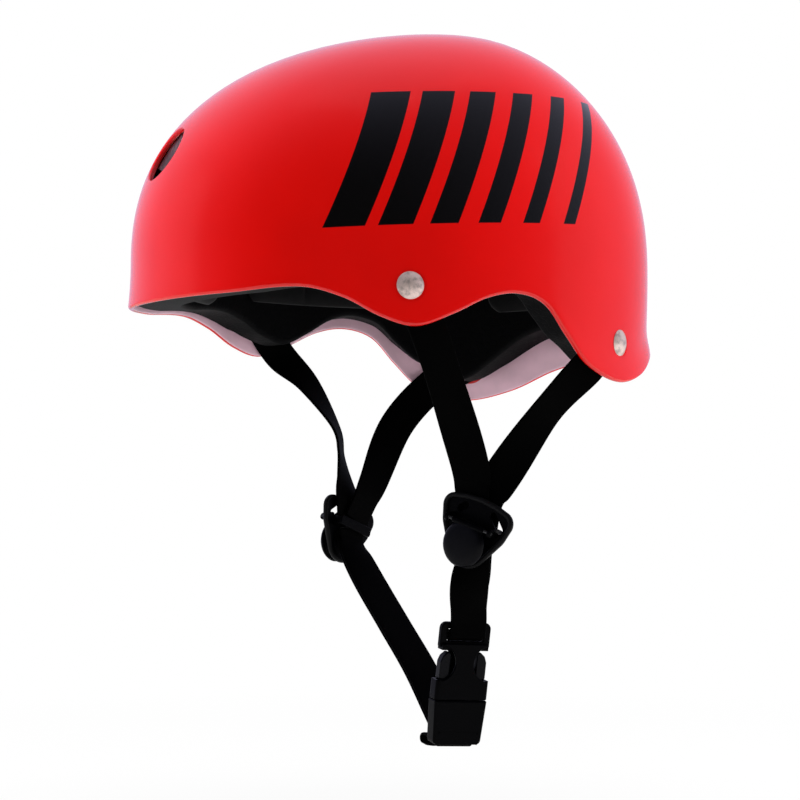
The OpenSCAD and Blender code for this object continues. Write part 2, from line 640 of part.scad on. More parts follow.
// Right chin run: two layers from the divider to the loop on the plug
BAR = buckle_place([0, 0, plug_bar_z - fit]);
CHIN_BEND = [12.6, 4, -207.5];
CHIN_WAY = unit(CHIN_BEND - BAR);
loop_reach = 18;
loop_start = 0.7;
module right_chin_strap() {
    color([0.06, 0.06, 0.06])
        webbing([right_station([-2.1, 0.1, -1.9], [0, 1, 0.1]), right_station([-2.9, 2, -8.6], [0, 1, 0.1]),
            [[-66, 3.3, -150.5], [-0.2, 0.98, 0]], [[-48, 3.6, -165], ACROSS], [[-18, 3.8, -186], ACROSS],
            [CHIN_BEND, ACROSS], [BAR + CHIN_WAY * (loop_reach + fit), BUCKLE_ACROSS]], 2, 4);
}
module plug_strap_loop() {
    color([0.06, 0.06, 0.06]) {
        webbing([[BAR + CHIN_WAY * (plug_bar_r + fit / 2 + loop_start), BUCKLE_ACROSS],
            [BAR + CHIN_WAY * loop_reach, BUCKLE_ACROSS]], 2, 4);
        buckle_frame() translate([0, 0, plug_bar_z - fit]) webbing_ring(plug_bar_r);
    }
}

outer_shell();
foam_liner();
front_pad();
rear_pad();
left_pad();
right_pad();
crown_pad();
hook_patches();
strap_rivets();
rivet_washers();
left_front_strap();
left_rear_strap();
right_front_strap();
right_rear_strap();
left_divider();
left_divider_pin();
left_divider_cap();
right_divider();
right_divider_pin();
right_divider_cap();
left_chin_strap();
right_chin_strap();
buckle_socket();
buckle_plug();
front_prong();
rear_prong();
plug_strap_loop();
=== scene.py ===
"""Skate helmet dressed for its portrait: shell, liner, pads, webbing, dividers, rivets and buckle."""

from __future__ import annotations

import json
import logging
import math
from collections.abc import Callable, Mapping, Sequence
from dataclasses import dataclass
from enum import Enum
from functools import partialmethod

import bmesh
import bpy
from bmesh.types import BMEdge, BMesh, BMFace, BMVert
from mathutils import Matrix, Vector


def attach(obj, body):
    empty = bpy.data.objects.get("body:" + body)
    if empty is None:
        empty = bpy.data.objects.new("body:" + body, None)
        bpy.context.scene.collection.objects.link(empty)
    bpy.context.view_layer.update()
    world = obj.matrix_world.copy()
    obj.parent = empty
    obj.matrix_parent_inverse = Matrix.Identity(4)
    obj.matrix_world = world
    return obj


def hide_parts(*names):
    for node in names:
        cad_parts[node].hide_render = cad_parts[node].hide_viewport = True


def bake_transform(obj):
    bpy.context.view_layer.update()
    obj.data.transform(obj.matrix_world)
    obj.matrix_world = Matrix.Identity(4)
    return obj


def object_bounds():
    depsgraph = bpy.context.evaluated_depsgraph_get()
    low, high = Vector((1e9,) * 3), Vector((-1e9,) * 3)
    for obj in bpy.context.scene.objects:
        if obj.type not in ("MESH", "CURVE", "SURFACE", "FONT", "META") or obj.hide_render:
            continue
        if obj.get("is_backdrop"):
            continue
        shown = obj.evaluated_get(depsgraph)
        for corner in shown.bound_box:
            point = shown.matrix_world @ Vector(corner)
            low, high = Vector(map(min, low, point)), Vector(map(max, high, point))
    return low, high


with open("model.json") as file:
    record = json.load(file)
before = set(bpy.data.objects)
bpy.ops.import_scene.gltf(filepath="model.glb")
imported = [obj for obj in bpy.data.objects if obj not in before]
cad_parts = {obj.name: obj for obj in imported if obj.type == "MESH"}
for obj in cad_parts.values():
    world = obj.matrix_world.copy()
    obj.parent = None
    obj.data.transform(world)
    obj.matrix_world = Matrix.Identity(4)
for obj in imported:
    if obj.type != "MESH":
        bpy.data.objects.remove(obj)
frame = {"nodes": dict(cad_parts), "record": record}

MM = 0.001
WELD = 1e-7
LOG = logging.getLogger("skate_helmet")

Colour = tuple[float, float, float, float]
Spot = tuple[float, float, float]
Pair = tuple[float, float]
Outline = list[Pair]


class Side(Enum):
    """A side of the wearer's head, as the sign of its X."""

    LEFT = 1
    RIGHT = -1


class Wire:
    """A shader value that takes part in Python arithmetic."""

    def __init__(self, graph: Graph, socket: bpy.types.NodeSocket) -> None:
        """Wraps one output socket of a graph."""
        self.graph = graph
        self.socket = socket

    def _math(self, operation: str, *others: Wire | float) -> Wire:
        """Adds one Math node over this value and others."""
        return self.graph.node("ShaderNodeMath", {"operation": operation}, dict(enumerate((self, *others))))

    def __rsub__(self, other: float) -> Wire:
        """Takes the value away from a number."""
        return self.graph.node("ShaderNodeMath", {"operation": "SUBTRACT"}, {0: other, 1: self})

    __add__ = __radd__ = partialmethod(_math, "ADD")
    __sub__ = partialmethod(_math, "SUBTRACT")
    __mul__ = __rmul__ = partialmethod(_math, "MULTIPLY")
    __truediv__ = partialmethod(_math, "DIVIDE")
    __abs__ = partialmethod(_math, "ABSOLUTE")
    sine = partialmethod(_math, "SINE")
    fraction = partialmethod(_math, "FRACT")

    def above(self, low: float, high: float) -> Wire:
        """Rises smoothly from 0 at low to 1 at high."""
        return self.graph.node("ShaderNodeMapRange", {"interpolation_type": "SMOOTHSTEP"},
                               {"Value": self, "From Min": low, "From Max": high})


Value = Wire | float | tuple[float, ...]


class Graph:
    """The node tree of one material or world."""

    def __init__(self, tree: bpy.types.NodeTree) -> None:
        """Empties a node tree and wraps it."""
        self.tree = tree
        tree.nodes.clear()

    def node(self, kind: str, settings: Mapping[str, object] | None = None,
             inputs: Mapping[str | int, Value] | None = None, output: str | int = 0) -> Wire:
        """Adds a node of any kind.

        Args:
            kind: The node's type name.
            settings: Its settings by name.
            inputs: Values or wires by socket name or number.
            output: Name or number of the output that is wanted.

        Returns:
            The wanted output.
        """
        made = self.tree.nodes.new(kind)
        for name, value in (settings or {}).items():
            setattr(made, name, value)
        for key, value in (inputs or {}).items():
            if isinstance(value, Wire):
                self.tree.links.new(value.socket, made.inputs[key])
            else:
                made.inputs[key].default_value = value
        return Wire(self, made.outputs[output])

    def place(self) -> Wire:
        """Gives the point on the object, in metres."""
        return self.node("ShaderNodeTexCoord", output="Object")

    def axes(self, vector: Wire) -> tuple[Wire, Wire, Wire]:
        """Splits a vector.

        Args:
            vector: The vector.

        Returns:
            Its three parts.
        """
        split = self.node("ShaderNodeSeparateXYZ", {}, {0: vector})
        outputs = split.socket.node.outputs
        return split, Wire(self, outputs[1]), Wire(self, outputs[2])

    def noise(self, size: float, detail: float = 3.0, along: Wire | None = None) -> Wire:
        """Gives a soft noise from 0 to 1 whose grains are about size metres."""
        return self.node("ShaderNodeTexNoise", {},
                         {"Vector": along or self.place(), "Scale": 1 / size, "Detail": detail}, "Fac")

    def cells(self, feature: str, size: float) -> Wire:
        """Gives the distance in a field of cells of about size metres, from their edges or their middles."""
        return self.node("ShaderNodeTexVoronoi", {"feature": feature},
                         {"Vector": self.place(), "Scale": 1 / size}, "Distance")

    def towards(self, vector: Wire, way: Spot) -> Wire:
        """Gives how far a vector points along a direction, from -1 to 1."""
        return self.node("ShaderNodeVectorMath", {"operation": "DOT_PRODUCT"}, {0: vector, 1: way}, "Value")

    def blend(self, share: Wire | float, first: Value, second: Value) -> Wire:
        """Mixes two colours by a share of the second."""
        return self.node("ShaderNodeMix", {"data_type": "RGBA"}, {0: share, 6: first, 7: second}, 2)

    def bump(self, height: Wire, strength: float, distance: float) -> Wire:
        """Turns a height from 0 to 1 into a normal, at a depth of distance metres."""
        return self.node("ShaderNodeBump", {}, {"Height": height, "Strength": strength, "Distance": distance})

    def finish(self, inputs: Mapping[str | int, Value]) -> None:
        """Ends a material with one Principled shader."""
        self.end(self.node("ShaderNodeBsdfPrincipled", {}, inputs))

    def end(self, shader: Wire) -> None:
        """Joins a shader to the material's output."""
        out = self.tree.nodes.new("ShaderNodeOutputMaterial")
        self.tree.links.new(shader.socket, out.inputs["Surface"])


def linear(red: int, green: int, blue: int) -> Colour:
    """Turns a colour as it looks on a screen into a shader's linear colour.

    Args:
        red: Its red part, from 0 to 255.
        green: Its green part.
        blue: Its blue part.

    Returns:
        The linear colour, which covers fully.
    """
    def channel(value: int) -> float:
        """Undoes the screen's curve for one part."""
        share = value / 255
        return share / 12.92 if share <= 0.04045 else ((share + 0.055) / 1.055) ** 2.4

    return channel(red), channel(green), channel(blue), 1.0


@dataclass(frozen=True)
class Finish:
    """A finish: a name and a colour, made into a material by build()."""

    name: str
    colour: Colour

    def shade(self, by: float) -> Colour:
        """Gives the finish's colour, lighter or darker by a factor."""
        return tuple(by * part for part in self.colour[:3]) + (1.0,)

    def build(self) -> bpy.types.Material:
        """Makes the material.

        Returns:
            The material.
        """
        material = bpy.data.materials.new(self.name)
        material.use_nodes = True
        material.diffuse_color = self.colour
        self.dress(Graph(material.node_tree))
        return material

    def dress(self, graph: Graph) -> None:
        """Fills the material's node tree.

        Args:
            graph: The tree's graph.
        """
        raise NotImplementedError


@dataclass(frozen=True)
class GlossShell(Finish):
    """Hard gloss plastic with slanted speed bars on both sides."""

    bars: Colour
    bar_foot: float = 7.0
    bar_top: float = 74.0
    bar_front: float = -84.0
    bar_slant: float = 0.42
    bar_pitch: float = 24.0
    bar_count: int = 6
    bar_rise: float = 0.06
    bar_share: float = 0.84
    bar_taper: float = 0.1
    bar_blur: float = 0.15
    share_blur: float = 0.007
    bare_crown: Pair = (30.0, 32.0)
    mottle: float = 0.06
    mottle_shade: float = 0.93
    scuff: float = 0.0008
    ripple: float = 0.012

    def edge_at(self, level: Wire, height: float) -> Wire:
        """Rises from 0 to 1 where a level passes a height in millimetres."""
        return level.above((height - self.bar_blur) * MM, (height + self.bar_blur) * MM)

    def bar_mask(self, graph: Graph) -> Wire:
        """Draws the bars.

        Args:
            graph: The tree's graph.

        Returns:
            1 on the slanted bars and 0 on the shell between them.
        """
        x, y, z = graph.axes(graph.place())
        back = y - self.bar_front * MM
        level = z - back * self.bar_rise
        inside = self.edge_at(level, self.bar_foot) * (1 - self.edge_at(level, self.bar_top))
        lean = (back - (z - self.bar_foot * MM) * self.bar_slant) / (self.bar_pitch * MM)
        run = lean.above(0, 0.01) * (1 - lean.above(self.bar_count - 0.01, self.bar_count))
        over = lean.fraction() - (self.bar_share - lean * self.bar_taper)
        bar = 1 - over.above(-self.share_blur, self.share_blur)
        side = abs(x).above(*(reach * MM for reach in self.bare_crown))
        return inside * run * bar * side

    def dress(self, graph: Graph) -> None:
        """Fills the material's node tree.

        Args:
            graph: The tree's graph.
        """
        mottle = graph.noise(self.mottle, 2.0)
        paint = graph.blend(mottle.above(0.3, 0.7), self.shade(self.mottle_shade), self.colour)
        mask = self.bar_mask(graph)
        scuff = graph.noise(self.scuff, 4.0)
        ripple = graph.noise(self.ripple, 1.0)
        graph.finish({"Base Color": graph.blend(mask, paint, self.bars),
                      "Roughness": 0.11 + scuff * 0.05 + mask * 0.03,
                      "Normal": graph.bump(ripple, 0.04, 0.0003), "IOR": 1.5,
                      "Coat Weight": 0.05, "Coat Roughness": 0.04})


@dataclass(frozen=True)
class MauveSatin(Finish):
    """Satin greyish mauve: the unpainted inner face of the shell, and also the pale colour painted on the
    upper part of the liner's vent walls as painted light.
    """

    cloud: float = 0.02
    cloud_shade: float = 0.82
    grain: float = 0.0012

    def dress(self, graph: Graph) -> None:
        """Fills the material's node tree.

        Args:
            graph: The tree's graph.
        """
        cloud = graph.noise(self.cloud)
        dark = self.shade(self.cloud_shade)
        graph.finish({"Base Color": graph.blend(cloud.above(0.3, 0.75), dark, self.colour),
                      "Roughness": 0.32 + cloud * 0.2,
                      "Normal": graph.bump(graph.noise(self.grain, 2.0), 0.12, 0.0002)})


@dataclass(frozen=True)
class BeadFoam(Finish):
    """Dark expanded foam whose fused beads show."""

    bead: float = 0.0034
    pore: float = 0.0007
    pore_shade: float = 1.7

    def dress(self, graph: Graph) -> None:
        """Fills the material's node tree.

        Args:
            graph: The tree's graph.
        """
        seam = graph.cells("DISTANCE_TO_EDGE", self.bead).above(0.0, 0.10)
        pores = graph.noise(self.pore)
        light = self.shade(self.pore_shade)
        graph.finish({"Base Color": graph.blend(pores.above(0.35, 0.8) * seam, self.colour, light),
                      "Roughness": 0.5 + 0.3 * pores, "Specular IOR Level": 0.06,
                      "Normal": graph.bump(seam * 0.8 + pores * 0.2, 0.35, 0.0003)})


@dataclass(frozen=True)
class KnitCloth(Finish):
    """Brushed knit of the pads, on a UV map in metres."""

    loop: float = 0.0013
    fuzz: float = 0.0006
    yarn_shade: float = 2.4

    def dress(self, graph: Graph) -> None:
        """Fills the material's node tree.

        Args:
            graph: The tree's graph.
        """
        uv = graph.node("ShaderNodeUVMap", {"uv_map": "UVMap"})
        across, along, _ = graph.axes(uv)
        turn = math.tau / self.loop
        rib = abs((across * (turn / 2)).sine())
        row = abs((along * (turn / 2)).sine())
        fuzz = graph.noise(self.fuzz)
        height = rib * 0.55 + row * 0.35 + fuzz * 0.35
        light = self.shade(self.yarn_shade)
        graph.finish({"Base Color": graph.blend(height.above(0.35, 1.1), self.colour, light),
                      "Roughness": 0.78 + 0.15 * fuzz, "Specular IOR Level": 0.12,
                      "Sheen Weight": 0.08, "Sheen Roughness": 0.45,
                      "Normal": graph.bump(height, 0.7, 0.00035)})


@dataclass(frozen=True)
class HookTape(Finish):
    """Stiff hook tape, a field of tiny hooks."""

    hook: float = 0.0011
    hook_shade: float = 2.0

    def dress(self, graph: Graph) -> None:
        """Fills the material's node tree.

        Args:
            graph: The tree's graph.
        """
        knob = 1 - graph.cells("F1", self.hook).above(0.1, 0.5)
        light = self.shade(self.hook_shade)
        graph.finish({"Base Color": graph.blend(knob, self.colour, light), "Roughness": 0.7,
                      "Normal": graph.bump(knob, 0.8, 0.0004)})


@dataclass(frozen=True)
class WovenStrap(Finish):
    """Black webbing: a close herringbone with firm selvedges, on a UV map in metres."""

    pick: float = 0.0012
    end: float = 0.0014
    half_width: float = 0.0095
    zigzag_ends: int = 6
    zigzag_picks: float = 3.2
    fuzz: float = 0.0004
    yarn_shade: float = 2.2

    def dress(self, graph: Graph) -> None:
        """Fills the material's node tree.

        Args:
            graph: The tree's graph.
        """
        uv = graph.node("ShaderNodeUVMap", {"uv_map": "UVMap"})
        along, across, _ = graph.axes(uv)
        edge = abs(across) / self.half_width
        swing = (across * (1 / (self.zigzag_ends * self.end))).fraction() - 0.5
        zigzag = abs(swing) * (self.zigzag_picks * self.pick)
        picks = ((along + zigzag) * (math.tau / self.pick)).sine() * 0.5 + 0.5
        ends = (across * (math.tau / self.end)).sine() * 0.5 + 0.5
        selvedge = edge.above(0.86, 0.9)
        yarn = picks * 0.62 + ends * 0.3
        fuzz = graph.noise(self.fuzz)
        height = yarn * (1 - selvedge * 0.7) + selvedge * 0.55 + fuzz * 0.18
        light = self.shade(self.yarn_shade)
        graph.finish({"Base Color": graph.blend(height.above(0.25, 1.15), self.colour, light),
                      "Roughness": 0.55 + 0.25 * fuzz, "Specular IOR Level": 0.02,
                      "Normal": graph.bump(height, 0.75, 0.00028)})


@dataclass(frozen=True)
class MouldedPlastic(Finish):
    """Satin moulded acetal with a faint spark-eroded grain."""

    roughness: float
    specular: float
    grain: float = 0.0005
    cloud: float = 0.012
    cloud_shade: float = 1.35

    def dress(self, graph: Graph) -> None:
        """Fills the material's node tree.

        Args:
            graph: The tree's graph.
        """
        grain = graph.noise(self.grain)
        cloud = graph.noise(self.cloud, 2.0)
        light = self.shade(self.cloud_shade)
        graph.finish({"Base Color": graph.blend(cloud.above(0.35, 0.7), self.colour, light),
                      "Roughness": self.roughness - 0.05 + cloud * 0.12,
                      "Specular IOR Level": self.specular,
                      "Normal": graph.bump(grain, 0.16, 0.00012)})


@dataclass(frozen=True)
class WornSteel(Finish):
    """Nickelled rivet steel with fine scratches and a dull bloom."""

    metallic: float = 0.6
    scratch: float = 0.0009
    scratch_turn: Spot = (0.3, 0.9, 0.4)
    scratch_stretch: Spot = (1.0, 9.0, 1.0)
    stain: float = 0.003
    stain_shade: float = 0.4

    def dress(self, graph: Graph) -> None:
        """Fills the material's node tree.

        Args:
            graph: The tree's graph.
        """
        stretched = graph.node("ShaderNodeMapping", {},
                               {"Vector": graph.place(), "Rotation": self.scratch_turn,
                                "Scale": self.scratch_stretch})
        scratch = graph.noise(self.scratch, 5.0, stretched).above(0.45, 0.7)
        worn = (graph.noise(self.stain).above(0.42, 0.72) + scratch * 0.5) * 0.7
        graph.finish({"Base Color": graph.blend(worn, self.colour, self.shade(self.stain_shade)),
                      "Metallic": self.metallic, "Roughness": 0.3 + scratch * 0.25,
                      "Normal": graph.bump(scratch, 0.2, 0.0001)})


class Wardrobe:
    """The helmet's materials, one of each finish."""

    def __init__(self) -> None:
        """Builds every material."""
        self.shell = GlossShell("gloss_red_shell", linear(222, 6, 2), linear(9, 8, 9)).build()
        self.shell_inside = MauveSatin("bare_shell_inside", linear(250, 206, 222)).build()
        # Painted light: a pale mauve for the upper part of the liner's vent walls, where light falls on them.
        self.vent_wall_light = MauveSatin("vent_wall_painted_light", linear(236, 206, 226)).build()
        self.foam = BeadFoam("black_bead_foam", linear(2, 2, 3)).build()
        self.cloth = KnitCloth("black_knit_cloth", linear(5, 5, 6)).build()
        self.hook = HookTape("hook_tape", linear(26, 26, 28)).build()
        self.webbing = WovenStrap("black_webbing", linear(1, 1, 1)).build()
        self.plastic = MouldedPlastic("black_acetal", linear(1, 1, 2), 0.36, 0.035).build()
        # The divider plate's raised rim: a lighter, glossier black than the plate.
        self.rim_plastic = MouldedPlastic("lighter_rim_acetal", linear(8, 8, 9), 0.4, 0.08).build()
        self.cap_plastic = MouldedPlastic("black_cap_acetal", linear(4, 4, 7), 0.3, 0.08).build()
        self.steel = WornSteel("rivet_steel", linear(236, 214, 206)).build()
        self.pin_steel = WornSteel("blackened_pin_steel", linear(40, 40, 42), 0.4).build()
        self.slots = {"shell": self.shell, "liner": self.foam, "pad_cloth": self.cloth,
                      "hook_tape": self.hook, "webbing": self.webbing, "rivet_steel": self.steel,
                      "strap_plastic": self.plastic, "cap_plastic": self.cap_plastic}


@dataclass(frozen=True)
class HeadForm:
    """The curve family that every skin of the helmet follows. Sizes in millimetres, angles in degrees."""

    crown_back: float = 30.0
    front_fullness: float = 2.26
    rear_fullness: float = 1.77
    side_fullness: float = 2.7
    dome_fullness: float = 2.25
    corner_fullness: float = 0.01
    egg: float = 0.034
    brow_depth: float = 50.0
    brow_swell: float = 0.042
    nape_tuck: float = 0.019
    edge_flare: float = 3.0
    flare_height: float = 9.0
    flare_start: float = 104.0
    flare_run: float = 30.0
    lift: float = 2.0
    temple_lift: Spot = (3.5, 50.0, 25.0)
    nape_lift: Spot = (12.5, 100.0, 28.0)
    rim: tuple[Pair, ...] = (
        (0, -24.5), (35, -22.8), (52, -20.8), (61, -26), (69, -35), (76.5, -39.3), (84, -32.6), (91, -24.4),
        (98, -21.6), (105, -26.5), (111, -40.5), (118, -54.5), (129, -61.5), (141, -56.5), (153, -46),
        (166, -41), (180, -39.5))

    @staticmethod
    def smooth(x: float) -> float:
        """Rises smoothly from 0 to 1."""
        t = min(1.0, max(0.0, x))
        return t * t * (3 - 2 * t)

    @staticmethod
    def turned(angle: float) -> float:
        """Folds an angle from the front onto one side."""
        part = angle % 360
        return 360 - part if part > 180 else part

    def _slope(self, i: int) -> float:
        """Gives the rim's slope.

        Args:
            i: The number of one of the rim's points.

        Returns:
            The slope there, in millimetres to a degree.
        """
        if i in (0, len(self.rim) - 1):
            return 0.0
        (a0, z0), (a1, z1) = self.rim[i - 1], self.rim[i + 1]
        return (z1 - z0) / (a1 - a0)

    def rim_height(self, angle: float) -> float:
        """Gives the height of the shell's rim.

        Args:
            angle: Degrees from the front.

        Returns:
            The height in millimetres.
        """
        a = self.turned(angle)
        i = next((k for k in range(len(self.rim) - 1) if a <= self.rim[k + 1][0]), len(self.rim) - 2)
        (a0, z0), (a1, z1) = self.rim[i], self.rim[i + 1]
        span = a1 - a0
        t = (a - a0) / span
        u = 1 - t
        return (u * u * (1 + 2 * t) * z0 + t * t * (3 - 2 * t) * z1
                + span * t * u * (u * self._slope(i) - t * self._slope(i + 1)))

    def liner_lift(self, angle: float) -> float:
        """Gives how far the liner's edge stays above the rim.

        Args:
            angle: Degrees from the front.

        Returns:
            The lift in millimetres, which grows at the temple and at the nape.
        """
        a = self.turned(angle)
        return self.lift + sum(rise * self.smooth((a - start) / run)
                               for rise, start, run in (self.temple_lift, self.nape_lift))


@dataclass(frozen=True)
class Skin:
    """One surface of the dome, by its reach to the front, rear, side and crown in millimetres."""

    front: float
    rear: float
    side: float
    crown: float
    form: HeadForm = HeadForm()

    NEAR_CROWN = 0.85
    TRIES = 12
    NUDGE = 0.05
    TURN_LIMIT = 8.0
    CLIMB_LIMIT = 6.0
    TOP_LEVEL = 89.5

    def inset(self, by: float) -> Skin:
        """Gives the skin that lies by millimetres further in."""
        return Skin(self.front - by, self.rear - by, self.side - by, self.crown - by, self.form)

    def point(self, angle: float, level: float) -> Vector:
        """Gives a point of the skin.

        Args:
            angle: Degrees from the front, towards the wearer's left.
            level: Degrees up the dome where it is above 0, and a height in millimetres where it isn't.

        Returns:
            The point in metres.
        """
        f = self.form
        up, turn = math.radians(max(level, 0.0)), math.radians(angle)
        c = max(math.cos(up), 0.0)
        z = self.crown * math.sin(up) ** (2 / f.dome_fullness) if level > 0 else level
        deep = 0.0 if level > 0 else (level / f.brow_depth) ** 2
        ahead = self.front * (1 + f.brow_swell * deep) + f.crown_back
        behind = self.rear * (1 - f.nape_tuck * deep) - f.crown_back
        front = f.crown_back - ahead * c ** (2 / f.front_fullness)
        rear = f.crown_back + behind * c ** (2 / f.rear_fullness)
        square = 1 + f.corner_fullness * math.sin(2 * turn) ** 2
        curl = (f.edge_flare * f.smooth((f.turned(angle) - f.flare_start) / f.flare_run)
                * math.exp(-((z - f.rim_height(angle)) / f.flare_height) ** 2))
        x = self.side * c ** (2 / f.side_fullness) * math.sin(turn) * square * (1 - f.egg * math.cos(turn))
        y = (front + rear) / 2 - (rear - front) / 2 * math.cos(turn) * square
        return Vector((x + curl * math.sin(turn), y - curl * math.cos(turn), z)) * MM

    def normal(self, angle: float, level: float, step: float = 1.0) -> Vector:
        """Gives the outward normal of the skin.

        Args:
            angle: Degrees from the front.
            level: Degrees up the dome, or a height in millimetres under it.
            step: How far to both sides the skin is felt.

        Returns:
            The normal.
        """
        around = self.point(angle + step, level) - self.point(angle - step, level)
        up = self.point(angle, level + step) - self.point(angle, level - step)
        return around.cross(up).normalized()

    def _guess(self, near: Vector) -> Pair:
        """Guesses the angle and level of a point.

        Args:
            near: The point, which is close to the skin.

        Returns:
            About its angle and level.
        """
        z = near.z / MM
        if z > self.NEAR_CROWN * self.crown:
            back = self.form.crown_back - near.y / MM
            reach = self.front + self.form.crown_back if back > 0 else self.rear - self.form.crown_back
            ahead, beside = back / reach, near.x / MM / self.side
            flat = min(0.95, max(0.02, math.hypot(ahead, beside))) ** 1.05
            return math.degrees(math.atan2(beside, ahead)), math.degrees(math.acos(flat))
        share = min(1.0, max(0.0, z / self.crown)) ** (self.form.dome_fullness / 2)
        level = math.degrees(math.asin(share)) if z > 0 else z
        ahead, behind, beside = (self.point(a, level) for a in (0, 180, 90))
        middle, reach = (ahead.y + behind.y) / 2, max((behind.y - ahead.y) / 2, 1e-6)
        return math.degrees(math.atan2(near.x / max(beside.x, 1e-6), (middle - near.y) / reach)), level

    def meet(self, near: Vector, axis: Vector) -> tuple[Vector, Vector]:
        """Finds where the line along an axis through a point meets the skin.

        Args:
            near: The point, which is close to the skin.
            axis: The line's direction.

        Returns:
            The place on the skin and the outward normal there.
        """
        side = axis.orthogonal().normalized()
        other = axis.cross(side)
        angle, level = self._guess(near)
        for _ in range(self.TRIES):
            here = self.point(angle, level)
            by_angle = (self.point(angle + self.NUDGE, level) - here) / self.NUDGE
            by_level = (self.point(angle, level + self.NUDGE) - here) / self.NUDGE
            miss = near - here
            a, b, c, d = by_angle.dot(side), by_level.dot(side), by_angle.dot(other), by_level.dot(other)
            e, f = miss.dot(side), miss.dot(other)
            scale = a * d - b * c
            if abs(scale) < 1e-14 or e * e + f * f < 1e-16:
                break
            angle += max(-self.TURN_LIMIT, min(self.TURN_LIMIT, (e * d - b * f) / scale))
            climb = max(-self.CLIMB_LIMIT, min(self.CLIMB_LIMIT, (a * f - e * c) / scale))
            level = min(self.TOP_LEVEL, level + climb)
        return self.point(angle, level), self.normal(angle, level, 0.2)


@dataclass(frozen=True)
class HelmetSizes:
    """The helmet's driving sizes, in millimetres."""

    outer: Skin = Skin(145.0, 133.0, 106.5, 122.0)
    wall: float = 3.0
    liner_gap: float = 0.4
    foam_ends: float = 25.0
    foam_side: float = 20.0
    foam_top: float = 24.0
    pad_gap: float = 2.0
    pad_thick: float = 9.0
    pad_rim: float = 2.5
    vent_d: float = 31.0
    vent_climb: float = 23.0
    crown_vent_back: float = 20.0
    rivet_d: float = 13.5
    rivet_h: float = 2.4
    rivet_seat: float = 0.5
    seat_margin: float = 0.9
    shank_d: float = 4.8
    strap_gap: float = 1.3
    webbing_w: float = 19.0
    webbing_t: float = 1.5
    pocket_depth: float = 10.0
    pocket_w: float = 41.75
    front_rivet: Pair = (74.4, -19.8)
    rear_rivet: Pair = (129.8, -41.5)

    @property
    def inner(self) -> Skin:
        """The shell's inner face."""
        return self.outer.inset(self.wall)

    @property
    def foam_back(self) -> Skin:
        """The liner's face towards the shell."""
        return self.inner.inset(self.liner_gap)

    @property
    def foam_face(self) -> Skin:
        """The liner's face towards the head."""
        back = self.foam_back
        return Skin(back.front - self.foam_ends, back.rear - self.foam_ends, back.side - self.foam_side,
                    back.crown - self.foam_top)

    @property
    def pad_back(self) -> Skin:
        """The skin that the pads' backs lie on."""
        return self.foam_face.inset(self.pad_gap)

    def rivet_seats(self) -> list[tuple[Vector, Vector]]:
        """Gives the place on the shell and the outward normal of every rivet."""
        return [(self.outer.point(side.value * angle, level), self.outer.normal(side.value * angle, level))
                for side in Side for angle, level in (self.front_rivet, self.rear_rivet)]

    def vent_seats(self) -> list[tuple[Vector, Vector]]:
        """Gives the vents' seats.

        Returns:
            The place on the shell and the outward normal of every vent.
        """
        climb = self.vent_climb
        seats = [(self.outer.point(angle, climb), self.outer.normal(angle, climb)) for angle in (0, 180)]
        crown = Vector((0, self.crown_vent_back, self.outer.crown)) * MM
        return seats + [(crown, Vector((0, 0, 1)))]


SIZES = HelmetSizes()


def grid(bm: BMesh, across: int, along: int, place: Callable[[float, float], Vector],
         paint: Callable[[float, float, Vector], Pair]) -> list[BMVert]:
    """Adds a grid and bends it into a surface.

    Args:
        bm: The mesh that gains the grid.
        across: Number of cells across.
        along: Number of cells along.
        place: Gives a point from the shares across and along.
        paint: Gives the UV from both shares and the point.

    Returns:
        The grid's vertices.
    """
    layer = bm.loops.layers.uv.verify()
    made = bmesh.ops.create_grid(bm, x_segments=across, y_segments=along, size=0.5)["verts"]
    shares = {vert: (vert.co.x + 0.5, vert.co.y + 0.5) for vert in made}
    for vert, (u, v) in shares.items():
        vert.co = place(u, v)
    for face in {face for vert in made for face in vert.link_faces}:
        for loop in face.loops:
            loop[layer].uv = paint(*shares[loop.vert], loop.vert.co)
    return made


def put(name: str, data: bpy.types.ID) -> bpy.types.Object:
    """Adds an object to the scene.

    Args:
        name: Its name.
        data: Its mesh, camera or lamp.

    Returns:
        The object.
    """
    made = bpy.data.objects.new(name, data)
    bpy.context.scene.collection.objects.link(made)
    return made


def in_microns(point: Vector) -> tuple[int, ...]:
    """Gives a point in whole micrometres, so that it can be looked up."""
    return tuple(round(part * 1e6) for part in point)


def weld(bm: BMesh) -> None:
    """Joins the points that coincide, and turns every face outwards."""
    bmesh.ops.remove_doubles(bm, verts=bm.verts[:], dist=WELD)
    bmesh.ops.recalc_face_normals(bm, faces=bm.faces[:])


def lie_flat(bm: BMesh) -> list[Vector]:
    """Lets large faces look flat and skins look smooth.

    Args:
        bm: The mesh.

    Returns:
        Each vertex's normal: that of its larger faces, or the skin's own where it is known.
    """
    lean = bm.verts.layers.float_vector.get("lean")
    normals = []
    for vert in bm.verts:
        known = vert[lean] if lean else Vector()
        total = sum((face.normal * face.calc_area() for face in vert.link_faces), Vector())
        normals.append((known if known.length > 0.5 else total).normalized())
    return normals


def piece(name: str, bm: BMesh, body: str, materials: Sequence[bpy.types.Material],
          replaced: Sequence[str] = ()) -> bpy.types.Object:
    """Turns a bmesh into a smooth piece that rides on a body.

    Args:
        name: The piece's name.
        bm: Its mesh, which is used up.
        body: The CAD body that it moves with.
        materials: Its materials by slot number.
        replaced: CAD nodes that it stands for.

    Returns:
        The new object.
    """
    mesh = bpy.data.meshes.new(name)
    for face in bm.faces:
        face.smooth = True
    bm.normal_update()
    normals = lie_flat(bm)
    bm.to_mesh(mesh)
    bm.free()
    mesh.normals_split_custom_set_from_vertices(normals)
    for material in materials:
        mesh.materials.append(material)
    made = put(name, mesh)
    if body:
        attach(made, body)
    if replaced:
        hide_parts(*replaced)
    LOG.info("%s: %d faces on %s", name, len(mesh.polygons), body)
    return made


